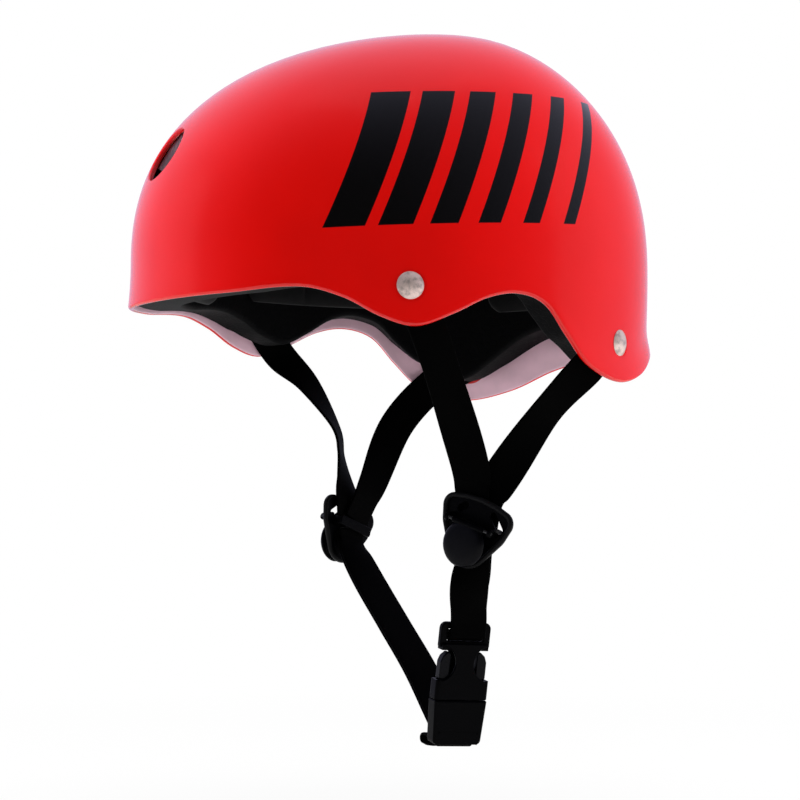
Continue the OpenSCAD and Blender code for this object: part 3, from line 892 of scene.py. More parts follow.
def pulled_round(circles: Sequence[Spot], points: int = 48) -> Outline:
    """Gives the outline pulled tight round some circles.

    Args:
        circles: Across, up and radius of each circle, in millimetres.
        points: Number of points.

    Returns:
        The outline, anticlockwise.
    """
    outline = []
    for k in range(points):
        across, up = math.cos(math.tau * k / points), math.sin(math.tau * k / points)
        u, v, r = max(circles, key=lambda circle: circle[0] * across + circle[1] * up + circle[2])
        outline.append((u + r * across, v + r * up))
    return outline


def filleted(corners: Sequence[Spot], steps: int = 6) -> Outline:
    """Gives a polygon whose corners are rounded.

    Args:
        corners: Across, up and fillet radius of each corner, anticlockwise, in millimetres.
        steps: Number of steps in each fillet.

    Returns:
        The outline, anticlockwise.
    """
    outline = []
    for i, (u, v, r) in enumerate(corners):
        corner = Vector((u, v))
        back = (Vector(corners[i - 1][:2]) - corner).normalized()
        ahead = (Vector(corners[(i + 1) % len(corners)][:2]) - corner).normalized()
        half = math.acos(max(-1.0, min(1.0, back.dot(ahead)))) / 2
        centre = corner + (back + ahead).normalized() * (r / math.sin(half))
        start, stop = (corner + way * (r / math.tan(half)) - centre for way in (back, ahead))
        for k in range(steps + 1):
            spoke = (start * (1 - k / steps) + stop * (k / steps)).normalized() * r
            outline.append(tuple(centre + spoke))
    return outline


def rounded_box(half: float, low: float, high: float, radius: float, top_radius: float = 0.0) -> Outline:
    """Gives a rectangle with rounded corners.

    Args:
        half: Its reach to both sides, in millimetres.
        low: The height of its foot.
        high: The height of its top.
        radius: The corners' radius.
        top_radius: The upper corners' radius, where it is another.

    Returns:
        The outline, anticlockwise.
    """
    above = top_radius or radius
    return filleted([(-half, low, radius), (half, low, radius), (half, high, above), (-half, high, above)])


def set_in(outline: Outline, by: float) -> Outline:
    """Draws an outline smaller.

    Args:
        outline: An anticlockwise outline.
        by: How far it is set in, in millimetres.

    Returns:
        The outline, with as many points.
    """
    moved = []
    for i, (u, v) in enumerate(outline):
        a, b = outline[i - 1]
        c, d = outline[(i + 1) % len(outline)]
        first, second = Vector((b - v, u - a)).normalized(), Vector((v - d, c - u)).normalized()
        share = by / max(0.4, 1 + first.dot(second))
        moved.append((u + (first.x + second.x) * share, v + (first.y + second.y) * share))
    return moved


@dataclass(frozen=True)
class Seat:
    """Where a moulding's own frame lies in the part: its origin in millimetres, out, across and up."""

    origin: Spot
    out: Spot
    across: Spot
    up: Spot

    def matrix(self, shift: Spot = (0, 0, 0), order: str = "oau") -> Matrix:
        """Gives the way from a moulding's millimetres to the part's metres.

        Args:
            shift: The moulding's place in this frame, as out, across and up.
            order: The directions that the moulding's own X, Y and Z take, by their first letters.

        Returns:
            The matrix.
        """
        ways = {"o": Vector((1, 0, 0)), "a": Vector((0, 1, 0)), "u": Vector((0, 0, 1))}
        turn = Matrix([ways[letter] for letter in order]).transposed().to_4x4()
        frame_turn = Matrix((self.out, self.across, self.up)).transposed().to_4x4()
        return (Matrix.Scale(MM, 4) @ Matrix.Translation(self.origin) @ frame_turn
                @ Matrix.Translation(shift) @ turn)

    def spot(self, out: float, across: float, up: float) -> Spot:
        """Gives the place in the part of a point of this frame, in millimetres."""
        return tuple(Vector(self.origin) + Vector(self.way(out, across, up)))

    def way(self, out: float, across: float, up: float) -> Spot:
        """Gives the direction in the part of a direction of this frame."""
        return tuple(Vector(self.out) * out + Vector(self.across) * across + Vector(self.up) * up)


def join(bm: BMesh, part: BMesh, place: Matrix, material: int) -> None:
    """Moves a finished part to its place and adds it to a mesh.

    Args:
        bm: The mesh that gains the part.
        part: The part in millimetres, which is used up.
        place: Its place.
        material: Its material slot.
    """
    bmesh.ops.recalc_face_normals(part, faces=part.faces[:])
    bmesh.ops.transform(part, matrix=place, verts=part.verts[:])
    if place.determinant() < 0:
        bmesh.ops.reverse_faces(part, faces=part.faces[:])
    for face in part.faces:
        face.material_index = material
    mesh = bpy.data.meshes.new("part")
    part.to_mesh(mesh)
    part.free()
    bm.from_mesh(mesh)
    bpy.data.meshes.remove(mesh)


def first_ring(bm: BMesh, count: int) -> tuple[list[BMVert], list[BMEdge]]:
    """Adds a ring of points that are numbered in the layer called order.

    Args:
        bm: The mesh, which has that layer.
        count: Number of points.

    Returns:
        The ring's points and edges.
    """
    order = bm.verts.layers.int["order"]
    verts = bmesh.ops.create_circle(bm, segments=count, radius=1.0)["verts"]
    for i, vert in enumerate(verts):
        vert[order] = i
    return verts, list({edge for vert in verts for edge in vert.link_edges})


def next_ring(bm: BMesh, edges: Sequence[BMEdge]) -> tuple[list[BMVert], list[BMEdge]]:
    """Grows a band of faces from a ring.

    Args:
        bm: The mesh.
        edges: The ring's edges.

    Returns:
        The points and edges of the ring at the band's other side.
    """
    geom = bmesh.ops.extrude_edge_only(bm, edges=edges)["geom"]
    return ([item for item in geom if isinstance(item, BMVert)],
            [item for item in geom if isinstance(item, BMEdge)])


@dataclass(frozen=True)
class Slab:
    """A flat moulding with holes and rounded edges, drawn across and up and raised outwards."""

    outline: Outline
    low: float
    high: float
    holes: tuple[Outline, ...] = ()
    soft: float = 0.5
    rings: int = 4
    material: int = 0
    sharp_top: bool = False

    def _rows(self) -> list[Pair]:
        """Gives the rows of the edge.

        Returns:
            Inset and height of each row, from the foot to the top.
        """
        turns = [math.pi / 2 * k / self.rings for k in range(self.rings + 1)]
        foot = [(self.soft * (1 - math.sin(t)), self.low + self.soft * (1 - math.cos(t))) for t in turns]
        if self.sharp_top:
            return foot + [(0.0, self.high)]
        return foot + [(inset, self.low + self.high - height) for inset, height in foot[::-1]]

    def add(self, bm: BMesh, place: Matrix) -> None:
        """Adds the moulding to a mesh.

        Args:
            bm: The mesh.
            place: The moulding's place.
        """
        part = bmesh.new()
        order = part.verts.layers.int.new("order")
        rims: tuple[list[BMEdge], list[BMEdge]] = ([], [])
        for k, loop in enumerate((self.outline, *self.holes)):
            made, edges = first_ring(part, len(loop))
            rims[0].extend(edges)
            for step, (inset, height) in enumerate(self._rows()):
                if step:
                    made, edges = next_ring(part, edges)
                shape = set_in(loop, inset if k == 0 else -inset)
                for vert in made:
                    vert.co = (height, *shape[vert[order]])
            rims[1].extend(edges)
        for rim in rims:
            bmesh.ops.triangle_fill(part, use_beauty=True, use_dissolve=False, edges=rim)
        join(bm, part, place, self.material)


@dataclass(frozen=True)
class Lathe:
    """A turned form: points of radius and height, spun round its own X."""

    profile: Sequence[Pair]
    closed: bool = False
    turns: int = 48
    material: int = 0

    def add(self, bm: BMesh, place: Matrix) -> None:
        """Adds the form to a mesh.

        Args:
            bm: The mesh.
            place: The form's place.
        """
        part = bmesh.new()
        verts = [part.verts.new((height, radius, 0)) for radius, height in self.profile]
        pairs = list(zip(verts, verts[1:])) + ([(verts[-1], verts[0])] if self.closed else [])
        edges = [part.edges.new(pair) for pair in pairs]
        bmesh.ops.spin(part, geom=verts + edges, cent=(0, 0, 0), axis=(1, 0, 0), angle=math.tau,
                       steps=self.turns, use_merge=True)
        bmesh.ops.remove_doubles(part, verts=part.verts[:], dist=WELD / MM)
        join(bm, part, place, self.material)


@dataclass(frozen=True)
class CutRing:
    """One ring of a round cut, in millimetres: its radius, and its depth under the outer or inner face."""

    radius: float
    depth: float
    inside: bool = False


def rings(radius: float, *steps: Pair, inside: bool = False) -> tuple[CutRing, ...]:
    """Gives rings of a cut whose edge follows a radius.

    Args:
        radius: The radius in millimetres.
        steps: How far each ring lies beyond the radius, and its depth.
        inside: Whether the depths count from the inner face.

    Returns:
        The rings.
    """
    return tuple(CutRing(radius + beyond, depth, inside) for beyond, depth in steps)


@dataclass(frozen=True)
class RoundCut:
    """A round hole through both faces of a dome, with shaped edges. Sizes in millimetres."""

    centre: Vector
    axis: Vector
    clear: float
    wall: float
    rings: tuple[CutRing, ...]
    segments: int = 96
    # lit_wall gives the wall's upper faces material 2, a pale colour painted as the light falling there;
    # lit_drop is how far under the axis that painted light reaches, in millimetres.
    lit_wall: bool = False
    past_wall: float = 12.0
    rim_margin: float = 1.2
    lit_drop: float = 3.0

    WATCHED_SHARE = 2.0
    BOUND_SHARE = 1.6

    def _frame(self) -> tuple[Vector, Vector]:
        """Gives two directions across the cut."""
        side = self.axis.orthogonal().normalized()
        return side, self.axis.cross(side)

    def _reach(self, point: Vector) -> Pair:
        """Measures a point's place.

        Args:
            point: The point in metres.

        Returns:
            Its distance from the axis and its way along it.
        """
        rel = point - self.centre
        along = rel.dot(self.axis)
        return (rel - self.axis * along).length, along

    def _open(self, bm: BMesh) -> dict[int, list[BMEdge]]:
        """Deletes the faces where the hole comes, also those that reach into its first ring.

        Args:
            bm: The dome's mesh.

        Returns:
            The edges round both openings, by the material slot of their faces.
        """
        limit = (self.wall + self.past_wall) * MM
        clear, watched = self.clear * MM, self.clear * self.WATCHED_SHARE * MM
        rim = (self.rings[0].radius + self.rim_margin) * MM
        gone = []
        for face in bm.faces:
            off, along = self._reach(face.calc_center_median())
            nearest = min(self._reach(vert.co)[0] for vert in face.verts) if off < watched else off
            if (off < clear or nearest < rim) and abs(along) < limit:
                gone.append(face)
        bmesh.ops.delete(bm, geom=gone, context="FACES")
        bounds: dict[int, list[BMEdge]] = {0: [], 1: []}
        for edge in bm.edges:
            if edge.is_boundary:
                off, along = self._reach(edge.verts[0].co)
                if off < clear * self.BOUND_SHARE and abs(along) < limit:
                    bounds[edge.link_faces[0].material_index].append(edge)
        return bounds

    def _lay(self, bm: BMesh, made: Sequence[BMVert], ring: CutRing, skin: Skin) -> None:
        """Lays one ring of points on its skin.

        Args:
            bm: The dome's mesh, with the layers order and lean.
            made: The ring's points.
            ring: The ring's sizes.
            skin: The skin that its depth counts from.
        """
        order, lean = bm.verts.layers.int["order"], bm.verts.layers.float_vector["lean"]
        side, other = self._frame()
        drop = self.wall * MM if ring.inside else 0.0
        way = self.axis if ring.inside else -self.axis
        for vert in made:
            turn = math.tau * vert[order] / self.segments
            spoke = (side * math.cos(turn) + other * math.sin(turn)) * (ring.radius * MM)
            spot, normal = skin.meet(self.centre + spoke - self.axis * drop, self.axis)
            vert.co = spot + way * (ring.depth * MM)
            if ring.depth == 0:
                vert[lean] = -normal if ring.inside else normal

    def apply(self, bm: BMesh, outer: Skin, inner: Skin) -> None:
        """Cuts the hole into a dome.

        Args:
            bm: The dome's mesh, whose outer face has material 0 and whose inner face has material 1.
            outer: The skin of its outer face.
            inner: The skin of its inner face.
        """
        bounds = self._open(bm)
        layers = bm.verts.layers
        if "order" not in layers.int:
            layers.int.new("order")
            layers.float_vector.new("lean")
        made, edges = first_ring(bm, self.segments)
        first = edges
        walls: list[BMFace] = []
        for step, ring in enumerate(self.rings):
            if step:
                made, edges = next_ring(bm, edges)
                walls.extend({face for edge in edges for face in edge.link_faces})
            self._lay(bm, made, ring, inner if ring.inside else outer)
        for loop, bound, material in ((first, bounds[0], 0), (edges, bounds[1], 1)):
            for face in bmesh.ops.bridge_loops(bm, edges=loop + bound)["faces"]:
                face.material_index = material
        # Painted light: wall faces above a level just under the axis take material 2, a pale colour for the
        # light that falls on the hole's upper wall.
        if self.lit_wall:
            for face in walls:
                rel = face.calc_center_median() - self.centre
                if (rel - self.axis * rel.dot(self.axis)).z > -self.lit_drop * MM:
                    face.material_index = 2


@dataclass(frozen=True)
class Dome:
    """A bowl between two skins with a round lip, and the holes cut in it."""

    outer: Skin
    inner: Skin
    edge: Callable[[float], float]
    lip: float
    columns: int = 256
    dome_rows: int = 42
    wall_rows: int = 14
    lip_rows: int = 8
    dent: Callable[[Vector], Vector] | None = None
    uv_per_metre: float = 10.0

    def profile(self) -> list[Callable[[float], Vector]]:
        """Gives the rows of the surface.

        Returns:
            What gives each row's point at an angle, from the outer crown over the lip to the inner crown.
        """
        dome = [90 * (1 - math.sin(math.pi / 2 * k / self.dome_rows)) for k in range(self.dome_rows)]
        outer = [lambda a, lv=level: self.outer.point(a, lv) for level in dome + [0.0]]
        inner = [lambda a, lv=level: self.inner.point(a, lv) for level in dome + [0.0]]
        shares = [(k + 1) / self.wall_rows for k in range(self.wall_rows - 1)]
        outer += [lambda a, s=share: self.outer.point(a, s * self._foot(a)) for share in shares]
        inner += [lambda a, s=share: self.inner.point(a, s * self._foot(a)) for share in shares]
        turns = [math.pi * k / self.lip_rows for k in range(self.lip_rows + 1)]
        lips = [lambda a, t=turn: self._lip_point(a, t) for turn in turns]
        return outer + lips + inner[::-1]

    def _foot(self, angle: float) -> float:
        """Gives the height where the lip's curve starts."""
        return self.edge(angle) + self.lip

    def _lip_point(self, angle: float, turn: float) -> Vector:
        """Gives a point of the lip.

        Args:
            angle: Degrees from the front.
            turn: Radians round the lip, from the outer face at 0 to the inner one at pi.

        Returns:
            The point in metres.
        """
        out, back = self.outer.point(angle, self._foot(angle)), self.inner.point(angle, self._foot(angle))
        reach = (out - back) / 2
        round_over = min(self.lip * MM, reach.length)
        inwards = reach.normalized() * (reach.length - round_over)
        swing = reach.normalized() * round_over
        middle = (out + back) / 2 + (inwards if turn <= math.pi / 2 else -inwards)
        return middle + swing * math.cos(turn) + Vector((0, 0, -1)) * (round_over * math.sin(turn))

    def build(self, cuts: Sequence[RoundCut]) -> BMesh:
        """Makes the bowl's mesh.

        Args:
            cuts: Round holes to cut through it.

        Returns:
            A closed mesh whose outer face has material 0 and whose inner face has material 1.
        """
        rows = self.profile()
        bm = bmesh.new()

        def place(u: float, v: float) -> Vector:
            """Gives the point at a share round and a share of the rows."""
            point = rows[round(v * (len(rows) - 1))](360 * u)
            return self.dent(point) if self.dent else point

        def paint(u: float, v: float, point: Vector) -> Pair:
            """Gives the UV: the share round, and the height over the edge."""
            return u, (point.z - self.edge(360 * u) * MM) * self.uv_per_metre

        grid(bm, self.columns, len(rows) - 1, place, paint)
        outer_rows = self.dome_rows + self.wall_rows + self.lip_rows // 2 + 2
        bm.faces.ensure_lookup_table()
        for index, face in enumerate(bm.faces):
            face.material_index = 0 if index // self.columns < outer_rows else 1
        weld(bm)
        for cut in cuts:
            cut.apply(bm, self.outer, self.inner)
        bmesh.ops.recalc_face_normals(bm, faces=bm.faces[:])
        return bm


@dataclass(frozen=True)
class Maker:
    """What the makers of the helmet's sub-assemblies share: its sizes and its materials."""

    sizes: HelmetSizes
    wardrobe: Wardrobe


@dataclass(frozen=True)
class Shell(Maker):
    """The hard outer shell with its three vents and four rivet recesses. Sizes in millimetres."""

    columns: int = 288
    vent_round: float = 0.9
    vent_clear: float = 7.5
    recess_clear: float = 5.5
    recess_points: int = 64
    shank_play: float = 0.3

    def cuts(self) -> list[RoundCut]:
        """Gives the shell's vents and rivet seats.

        Returns:
            The cuts, with their rings from the outer face to the inner one.
        """
        s = self.sizes
        r, soft = s.vent_d / 2, self.vent_round
        vent = (*rings(r, (4.5, 0), (2.2, 0), (soft, 0), (0.42, 0.12), (0.12, 0.4), (0, soft)),
                *rings(r, (0, soft), (0.3, 0.3), (soft, 0), (4.5, 0), inside=True))
        seat, floor, hole = s.rivet_d / 2 + s.seat_margin, s.rivet_seat, s.shank_d / 2 + self.shank_play
        recess = (*rings(seat, (3.2, 0), (1.0, 0), (0.35, 0.02), (0.1, 0.12), (0, 0.3)),
                  *rings(seat, (-0.06, floor - 0.1), (-0.4, floor)),
                  *rings(hole, (0.2, floor), (0, floor + 0.2)),
                  *rings(hole, (0, 0.2), (0.2, 0), inside=True), *rings(seat, (3.0, 0), inside=True))
        vents = [RoundCut(c, n, r + self.vent_clear, s.wall, vent) for c, n in s.vent_seats()]
        return vents + [RoundCut(c, n, seat + self.recess_clear, s.wall, recess, self.recess_points)
                        for c, n in s.rivet_seats()]

    def build(self) -> None:
        """Builds the shell."""
        s = self.sizes
        dome = Dome(s.outer, s.inner, s.outer.form.rim_height, s.wall / 2, self.columns)
        piece("shell", dome.build(self.cuts()), "helmet",
              [self.wardrobe.shell, self.wardrobe.shell_inside], ["outer_shell"])


@dataclass(frozen=True)
class Liner(Maker):
    """The foam liner, with round edges and a pocket behind each rivet. Sizes in millimetres."""

    dome_rows: int = 36
    lip_rows: int = 12
    lip: float = 3.0
    vent_more: float = 3.0
    vent_round: float = 1.2
    vent_clear: float = 7.0
    vent_depth: float = 30.0
    lobe_behind: float = 2.0
    lobe_run: float = 9.0
    lobe_drop: float = 8.0
    pocket_more: float = 2.5
    pocket_fade: float = 4.0
    pocket_top: float = 26.0
    pocket_top_fade: float = 5.0
    pocket_over: float = 4.0

    def edge(self, angle: float) -> float:
        """Gives the height of the liner's edge, with a lobe behind the rear rivet.

        Args:
            angle: Degrees from the front.

        Returns:
            The height in millimetres.
        """
        form = self.sizes.outer.form
        behind = (form.turned(angle) - self.sizes.rear_rivet[0] - self.lobe_behind) / self.lobe_run
        return form.rim_height(angle) + form.liner_lift(angle) - self.lobe_drop * math.exp(-behind ** 2)

    def dent(self, point: Vector) -> Vector:
        """Presses the liner's back inwards near a rivet.

        Args:
            point: A point of the liner.

        Returns:
            The point, moved where it is in a pocket.
        """
        s = self.sizes
        half = s.pocket_w / 2 + self.pocket_more
        for centre, axis in s.rivet_seats():
            rel = point - centre
            depth = -rel.dot(axis) / MM
            across = abs(rel.dot(Vector((0, 0, 1)).cross(axis).normalized())) / MM
            reach = (HeadForm.smooth((half - across) / self.pocket_fade)
                     * HeadForm.smooth((self.pocket_top - rel.z / MM) / self.pocket_top_fade))
            if reach > 0 and -self.pocket_over < depth < s.pocket_depth:
                return point - axis * ((s.pocket_depth - depth) * MM * reach)
        return point

    def build(self) -> None:
        """Builds the liner."""
        s = self.sizes
        r, soft = (s.vent_d + self.vent_more) / 2, self.vent_round
        vent = (*rings(r, (3.5, 0), (soft, 0), (0.3, 0.3), (0, soft)),
                *rings(r, (0, soft), (0.3, 0.3), (soft, 0), (3.5, 0), inside=True))
        # The vents' upper walls take slot 2, a pale colour painted as the light falling on them.
        cuts = [RoundCut(c, n, r + self.vent_clear, self.vent_depth, vent, lit_wall=True)
                for c, n in s.vent_seats()]
        dome = Dome(s.foam_back, s.foam_face, self.edge, self.lip, dome_rows=self.dome_rows,
                    lip_rows=self.lip_rows, dent=self.dent)
        piece("liner", dome.build(cuts), "helmet",
              [self.wardrobe.foam, self.wardrobe.foam, self.wardrobe.vent_wall_light], ["foam_liner"])


@dataclass(frozen=True)
class Inflation:
    """Air pressure that puffs a sewn cover out, worked out as cloth and then kept in the mesh."""

    pressure: float = 4.0
    frames: int = 20
    most: float = 0.0028
    quality: int = 6
    mass: float = 0.15

    def apply(self, bm: BMesh, held: Sequence[int]) -> None:
        """Puffs a closed cover out.

        Args:
            bm: The cover.
            held: Numbers of the points that are glued or sewn down.
        """
        mesh = bpy.data.meshes.new("cover")
        bm.to_mesh(mesh)
        cover = put("cover", mesh)
        cover.vertex_groups.new(name="held").add(list(held), 1.0, "REPLACE")
        cloth = cover.modifiers.new("cloth", "CLOTH")
        cloth.point_cache.frame_start, cloth.point_cache.frame_end = 1, self.frames
        cloth.settings.quality = self.quality
        cloth.settings.mass = self.mass
        cloth.settings.use_pressure = True
        cloth.settings.uniform_pressure_force = self.pressure
        cloth.settings.vertex_group_mass = "held"
        cloth.settings.effector_weights.gravity = 0.0
        for frame_number in range(1, self.frames + 1):
            bpy.context.scene.frame_set(frame_number)
        puffed = cover.evaluated_get(bpy.context.evaluated_depsgraph_get()).data
        bm.verts.ensure_lookup_table()
        for vert, moved in zip(bm.verts, puffed.vertices):
            step = moved.co - vert.co
            vert.co += step * min(1.0, self.most / max(step.length, 1e-9))
        bpy.context.scene.frame_set(1)
        bpy.data.objects.remove(cover)
        bpy.data.meshes.remove(mesh)


@dataclass(frozen=True)
class Cushion:
    """A comfort pad between two angles and two levels of the liner."""

    name: str
    node: str
    start: float
    stop: float
    low: float
    high: float
    cells_across: int = 84
    cells_up: int = 52


Section = Callable[[float, float], Spot]


@dataclass(frozen=True)
class Pads(Maker):
    """The comfort pads inside the liner. Sizes in millimetres, but the cloth's in metres."""

    slack: float = 1.4
    channel: float = 0.36
    channel_width: float = 0.03
    channel_depth: float = 0.34
    seam_cells: float = 0.75
    edge_power: int = 24
    side_pull: float = 0.1
    swell_power: float = 0.35
    cloth_w: float = 0.18
    cloth_h: float = 0.12
    crown_low: float = 58.0
    crown_rise: float = 16.0
    crown_cells: tuple[int, int] = (120, 32)

    CUSHIONS = (Cushion("brow_pad", "front_pad", -46, 46, -17, 12),
                Cushion("nape_pad", "rear_pad", 140, 220, -14, 14),
                Cushion("temple_pad_left", "left_pad", 60, 122, -12, 20),
                Cushion("temple_pad_right", "right_pad", -122, -60, -12, 20))

    def _rise(self) -> float:
        """Gives how much thicker a pad is in its middle than at its rim."""
        return self.sizes.pad_thick - self.slack - self.sizes.pad_rim

    def _swell(self, u: float, v: float) -> float:
        """Gives a pad's thickness.

        Args:
            u: The place across it, from -1 to 1.
            v: The place up it, from -1 to 1.

        Returns:
            The thickness in millimetres.
        """
        crown = math.sqrt(max(0.0, (1 - u ** 4) * (1 - v ** 4)))
        quilt = 1 - self.channel_depth * math.exp(-((abs(u) - self.channel) / self.channel_width) ** 2)
        return self.sizes.pad_rim * (1 - abs(u) ** self.edge_power) ** 0.5 + self._rise() * crown * quilt

    def _cover(self, name: str, node: str, cells: tuple[int, int], section: Section) -> None:
        """Builds a pad's cover as a closed tube round its section, and puffs it out.

        Args:
            name: The pad's name.
            node: The CAD node that it stands for.
            cells: Number of cells along the pad and round its section.
            section: Gives angle, level and thickness for a share along the pad and a share up it.
        """
        bm = bmesh.new()
        held: list[Vector] = []

        def place(u: float, v: float) -> Vector:
            """Gives a point of the tube, and notes where it is held.

            Args:
                u: The share along the pad.
                v: The share round it, where the first half is the face and the second the back.

            Returns:
                The point in metres.
            """
            turn = math.tau * v
            face = 0 < v < 0.5
            angle, level, thick = section(u, 0.5 - 0.5 * math.cos(turn))
            depth = thick * abs(math.sin(turn)) ** self.swell_power if face else 0.0
            spot = self.sizes.pad_back.inset(depth).point(angle, level)
            if not face or abs(abs(2 * u - 1) - self.channel) < self.seam_cells / cells[0]:
                held.append(spot)
            return spot

        def paint(u: float, v: float, point: Vector) -> Pair:
            """Gives the UV, in about the cloth's metres."""
            return u * self.cloth_w, v * self.cloth_h

        grid(bm, *cells, place, paint)
        weld(bm)
        fixed = {in_microns(spot) for spot in held}
        bm.verts.ensure_lookup_table()
        Inflation().apply(bm, [vert.index for vert in bm.verts if in_microns(vert.co) in fixed])
        made = piece(name, bm, "helmet", [self.wardrobe.cloth], [node])

    def build_cushion(self, pad: Cushion) -> None:
        """Builds one side pad with two sewn channels.

        Args:
            pad: Its name and place.
        """
        def section(u: float, t: float) -> Spot:
            """Gives a place on the pad.

            Args:
                u: The share along the pad.
                t: The share up it.

            Returns:
                Its angle, level and thickness.
            """
            along, up = 2 * u - 1, 2 * t - 1
            half = (pad.stop - pad.start) / 2
            angle = (pad.start + pad.stop) / 2 + half * along * (1 - self.side_pull * up ** 4)
            return angle, pad.low + (pad.high - pad.low) * t, self._swell(along, up)

        self._cover(pad.name, pad.node, (pad.cells_across, pad.cells_up), section)

    def build_crown(self) -> None:
        """Builds the ring pad round the crown vent."""
        def section(u: float, t: float) -> Spot:
            """Gives angle, level and thickness for a share round the ring and a share up it."""
            crown = math.sqrt(max(0.0, 1 - (2 * t - 1) ** 4))
            return 360 * u, self.crown_low + self.crown_rise * t, self.sizes.pad_rim + self._rise() * crown

        self._cover("crown_ring_pad", "crown_pad", self.crown_cells, section)

    def build(self) -> None:
        """Builds every pad."""
        for pad in self.CUSHIONS:
            self.build_cushion(pad)
        self.build_crown()


@dataclass(frozen=True)
class Station:
    """A point that webbing runs through, in millimetres, and the way across it there."""

    point: Spot
    across: Spot


def on_seat(seat: Seat, spot: Spot, way: Spot) -> Station:
    """Gives a station from a place and a direction in a moulding's own frame."""
    return Station(seat.spot(*spot), seat.way(*way))


@dataclass(frozen=True)
class Ribbon:
    """A length of webbing along a smooth curve through its stations. Sizes in millimetres."""

    stations: Sequence[Station]
    width: float
    thick: float
    layers: int = 1
    steps: int = 14
    layer_gap: float = 0.12
    look: float = 0.02
    flat_cells: int = 6
    arc_cells: int = 5
    groove_depth: float = 0.12
    groove_place: float = 0.86
    groove_width: float = 0.35

    @staticmethod
    def _curve(values: Sequence[Vector], t: float) -> Vector:
        """Gives a point of the smooth curve through some values.

        Args:
            values: The values.
            t: The place on the curve, which reaches the first value at 0 and the next at 1.

        Returns:
            The point.
        """
        last = len(values) - 1
        i = min(last - 1, int(t))
        f = t - i
        a, b, c, d = (values[min(last, max(0, k))] for k in (i - 1, i, i + 1, i + 2))
        return 0.5 * (2 * b + (c - a) * f + (2 * a - 5 * b + 4 * c - d) * f * f
                      + (3 * b - a - 3 * c + d) * f ** 3)

    def _frames(self) -> list[tuple[Vector, Vector, Vector, float]]:
        """Follows the curve.

        Returns:
            Centre, way across, way outwards and length run at every step.
        """
        points = [Vector(station.point) for station in self.stations]
        acrosses = [Vector(station.across) for station in self.stations]
        frames = []
        run = 0.0
        for k in range((len(points) - 1) * self.steps + 1):
            t = k / self.steps
            centre = self._curve(points, t)
            ahead = self._curve(points, min(t + self.look, len(points) - 1))
            behind = self._curve(points, max(t - self.look, 0))
            way = (ahead - behind).normalized()
            raw = self._curve(acrosses, t)
            across = (raw - way * raw.dot(way)).normalized()
            if frames:
                run += (centre - frames[-1][0]).length
            frames.append((centre, across, way.cross(across), run))
        return frames

    def _section(self) -> list[Pair]:
        """Draws the section, flat with round edges and a shallow groove beside each selvedge.

        Returns:
            Its points as across and out, closed.
        """
        half, r = self.width / 2, self.thick / 2
        flat = [(half - r) * (2 * k / self.flat_cells - 1) for k in range(self.flat_cells + 1)]
        arc = [math.pi * k / self.arc_cells for k in range(1, self.arc_cells)]
        off = [(abs(x) - half * self.groove_place) / self.groove_width for x in flat]
        top = [(x, r * (1 - self.groove_depth * math.exp(-far ** 2))) for x, far in zip(flat, off)]
        right = [(half - r + r * math.sin(a), r * math.cos(a)) for a in arc]
        return top + right + [(-x, -y) for x, y in top + right] + [top[0]]

    def add(self, bm: BMesh) -> None:
        """Adds the webbing to a mesh, with its ends closed.

        Args:
            bm: The mesh.
        """
        frames = self._frames()
        section = self._section()
        for layer in range(self.layers):
            lift = (layer - (self.layers - 1) / 2) * (self.thick + self.layer_gap)

            def place(u: float, v: float, lift: float = lift) -> Vector:
                """Gives the point at a share along the webbing and a share round it."""
                centre, across, out, _ = frames[round(u * (len(frames) - 1))]
                x, y = section[round(v * (len(section) - 1))]
                return (centre + across * x + out * (y + lift)) * MM

            def paint(u: float, v: float, point: Vector) -> Pair:
                """Gives the UV: metres along the webbing and across it."""
                run = frames[round(u * (len(frames) - 1))][3]
                return run * MM, section[round(v * (len(section) - 1))][0] * MM

            made = grid(bm, len(frames) - 1, len(section) - 1, place, paint)
            bmesh.ops.remove_doubles(bm, verts=made, dist=WELD)
        bmesh.ops.holes_fill(bm, edges=[edge for edge in bm.edges if edge.is_boundary], sides=0)
        bmesh.ops.recalc_face_normals(bm, faces=bm.faces[:])


def divider_seat(side: Side, origin: Spot, turn: float, tilt: float) -> Seat:
    """Gives a divider's frame.

    Args:
        side: The side of the head.
        origin: The middle of the plate's inner face, in millimetres.
        turn: Degrees that it is turned towards the front.
        tilt: Degrees that its top edge leans.

    Returns:
        The frame, out of the plate, across it and up it.
    """
    t, lean, s = math.radians(turn), math.radians(tilt), side.value
    return Seat(origin, (s * math.cos(t), -math.sin(t), 0.0),
                (s * math.sin(t) * math.cos(lean), math.cos(t) * math.cos(lean), -math.sin(lean)),
                (s * math.sin(t) * math.sin(lean), math.cos(t) * math.sin(lean), math.cos(lean)))


def buckle_seat(origin: Spot, lean: float, roll: float) -> Seat:
    """Gives the buckle's frame.

    Args:
        origin: The middle of the socket's mouth, in millimetres.
        lean: Degrees that its top leans outwards.
        roll: Degrees that it is rolled in its own plane.

    Returns:
        The frame, out of the buckle, across it and up it.
    """
    a, b = math.radians(lean), math.radians(roll)
    return Seat(origin, (math.cos(a), 0.0, -math.sin(a)),
                (-math.sin(b) * math.sin(a), math.cos(b), -math.sin(b) * math.cos(a)),
                (math.cos(b) * math.sin(a), math.sin(b), math.cos(b) * math.cos(a)))


SEATS = {Side.LEFT: divider_seat(Side.LEFT, (76.5, 3.1, -134.8), 58, 20),
         Side.RIGHT: divider_seat(Side.RIGHT, (-76.5, 2.6, -133.2), 24, 18)}
BUCKLE = buckle_seat((55.4, 3.9, -219.5), 8.5, 2.5)


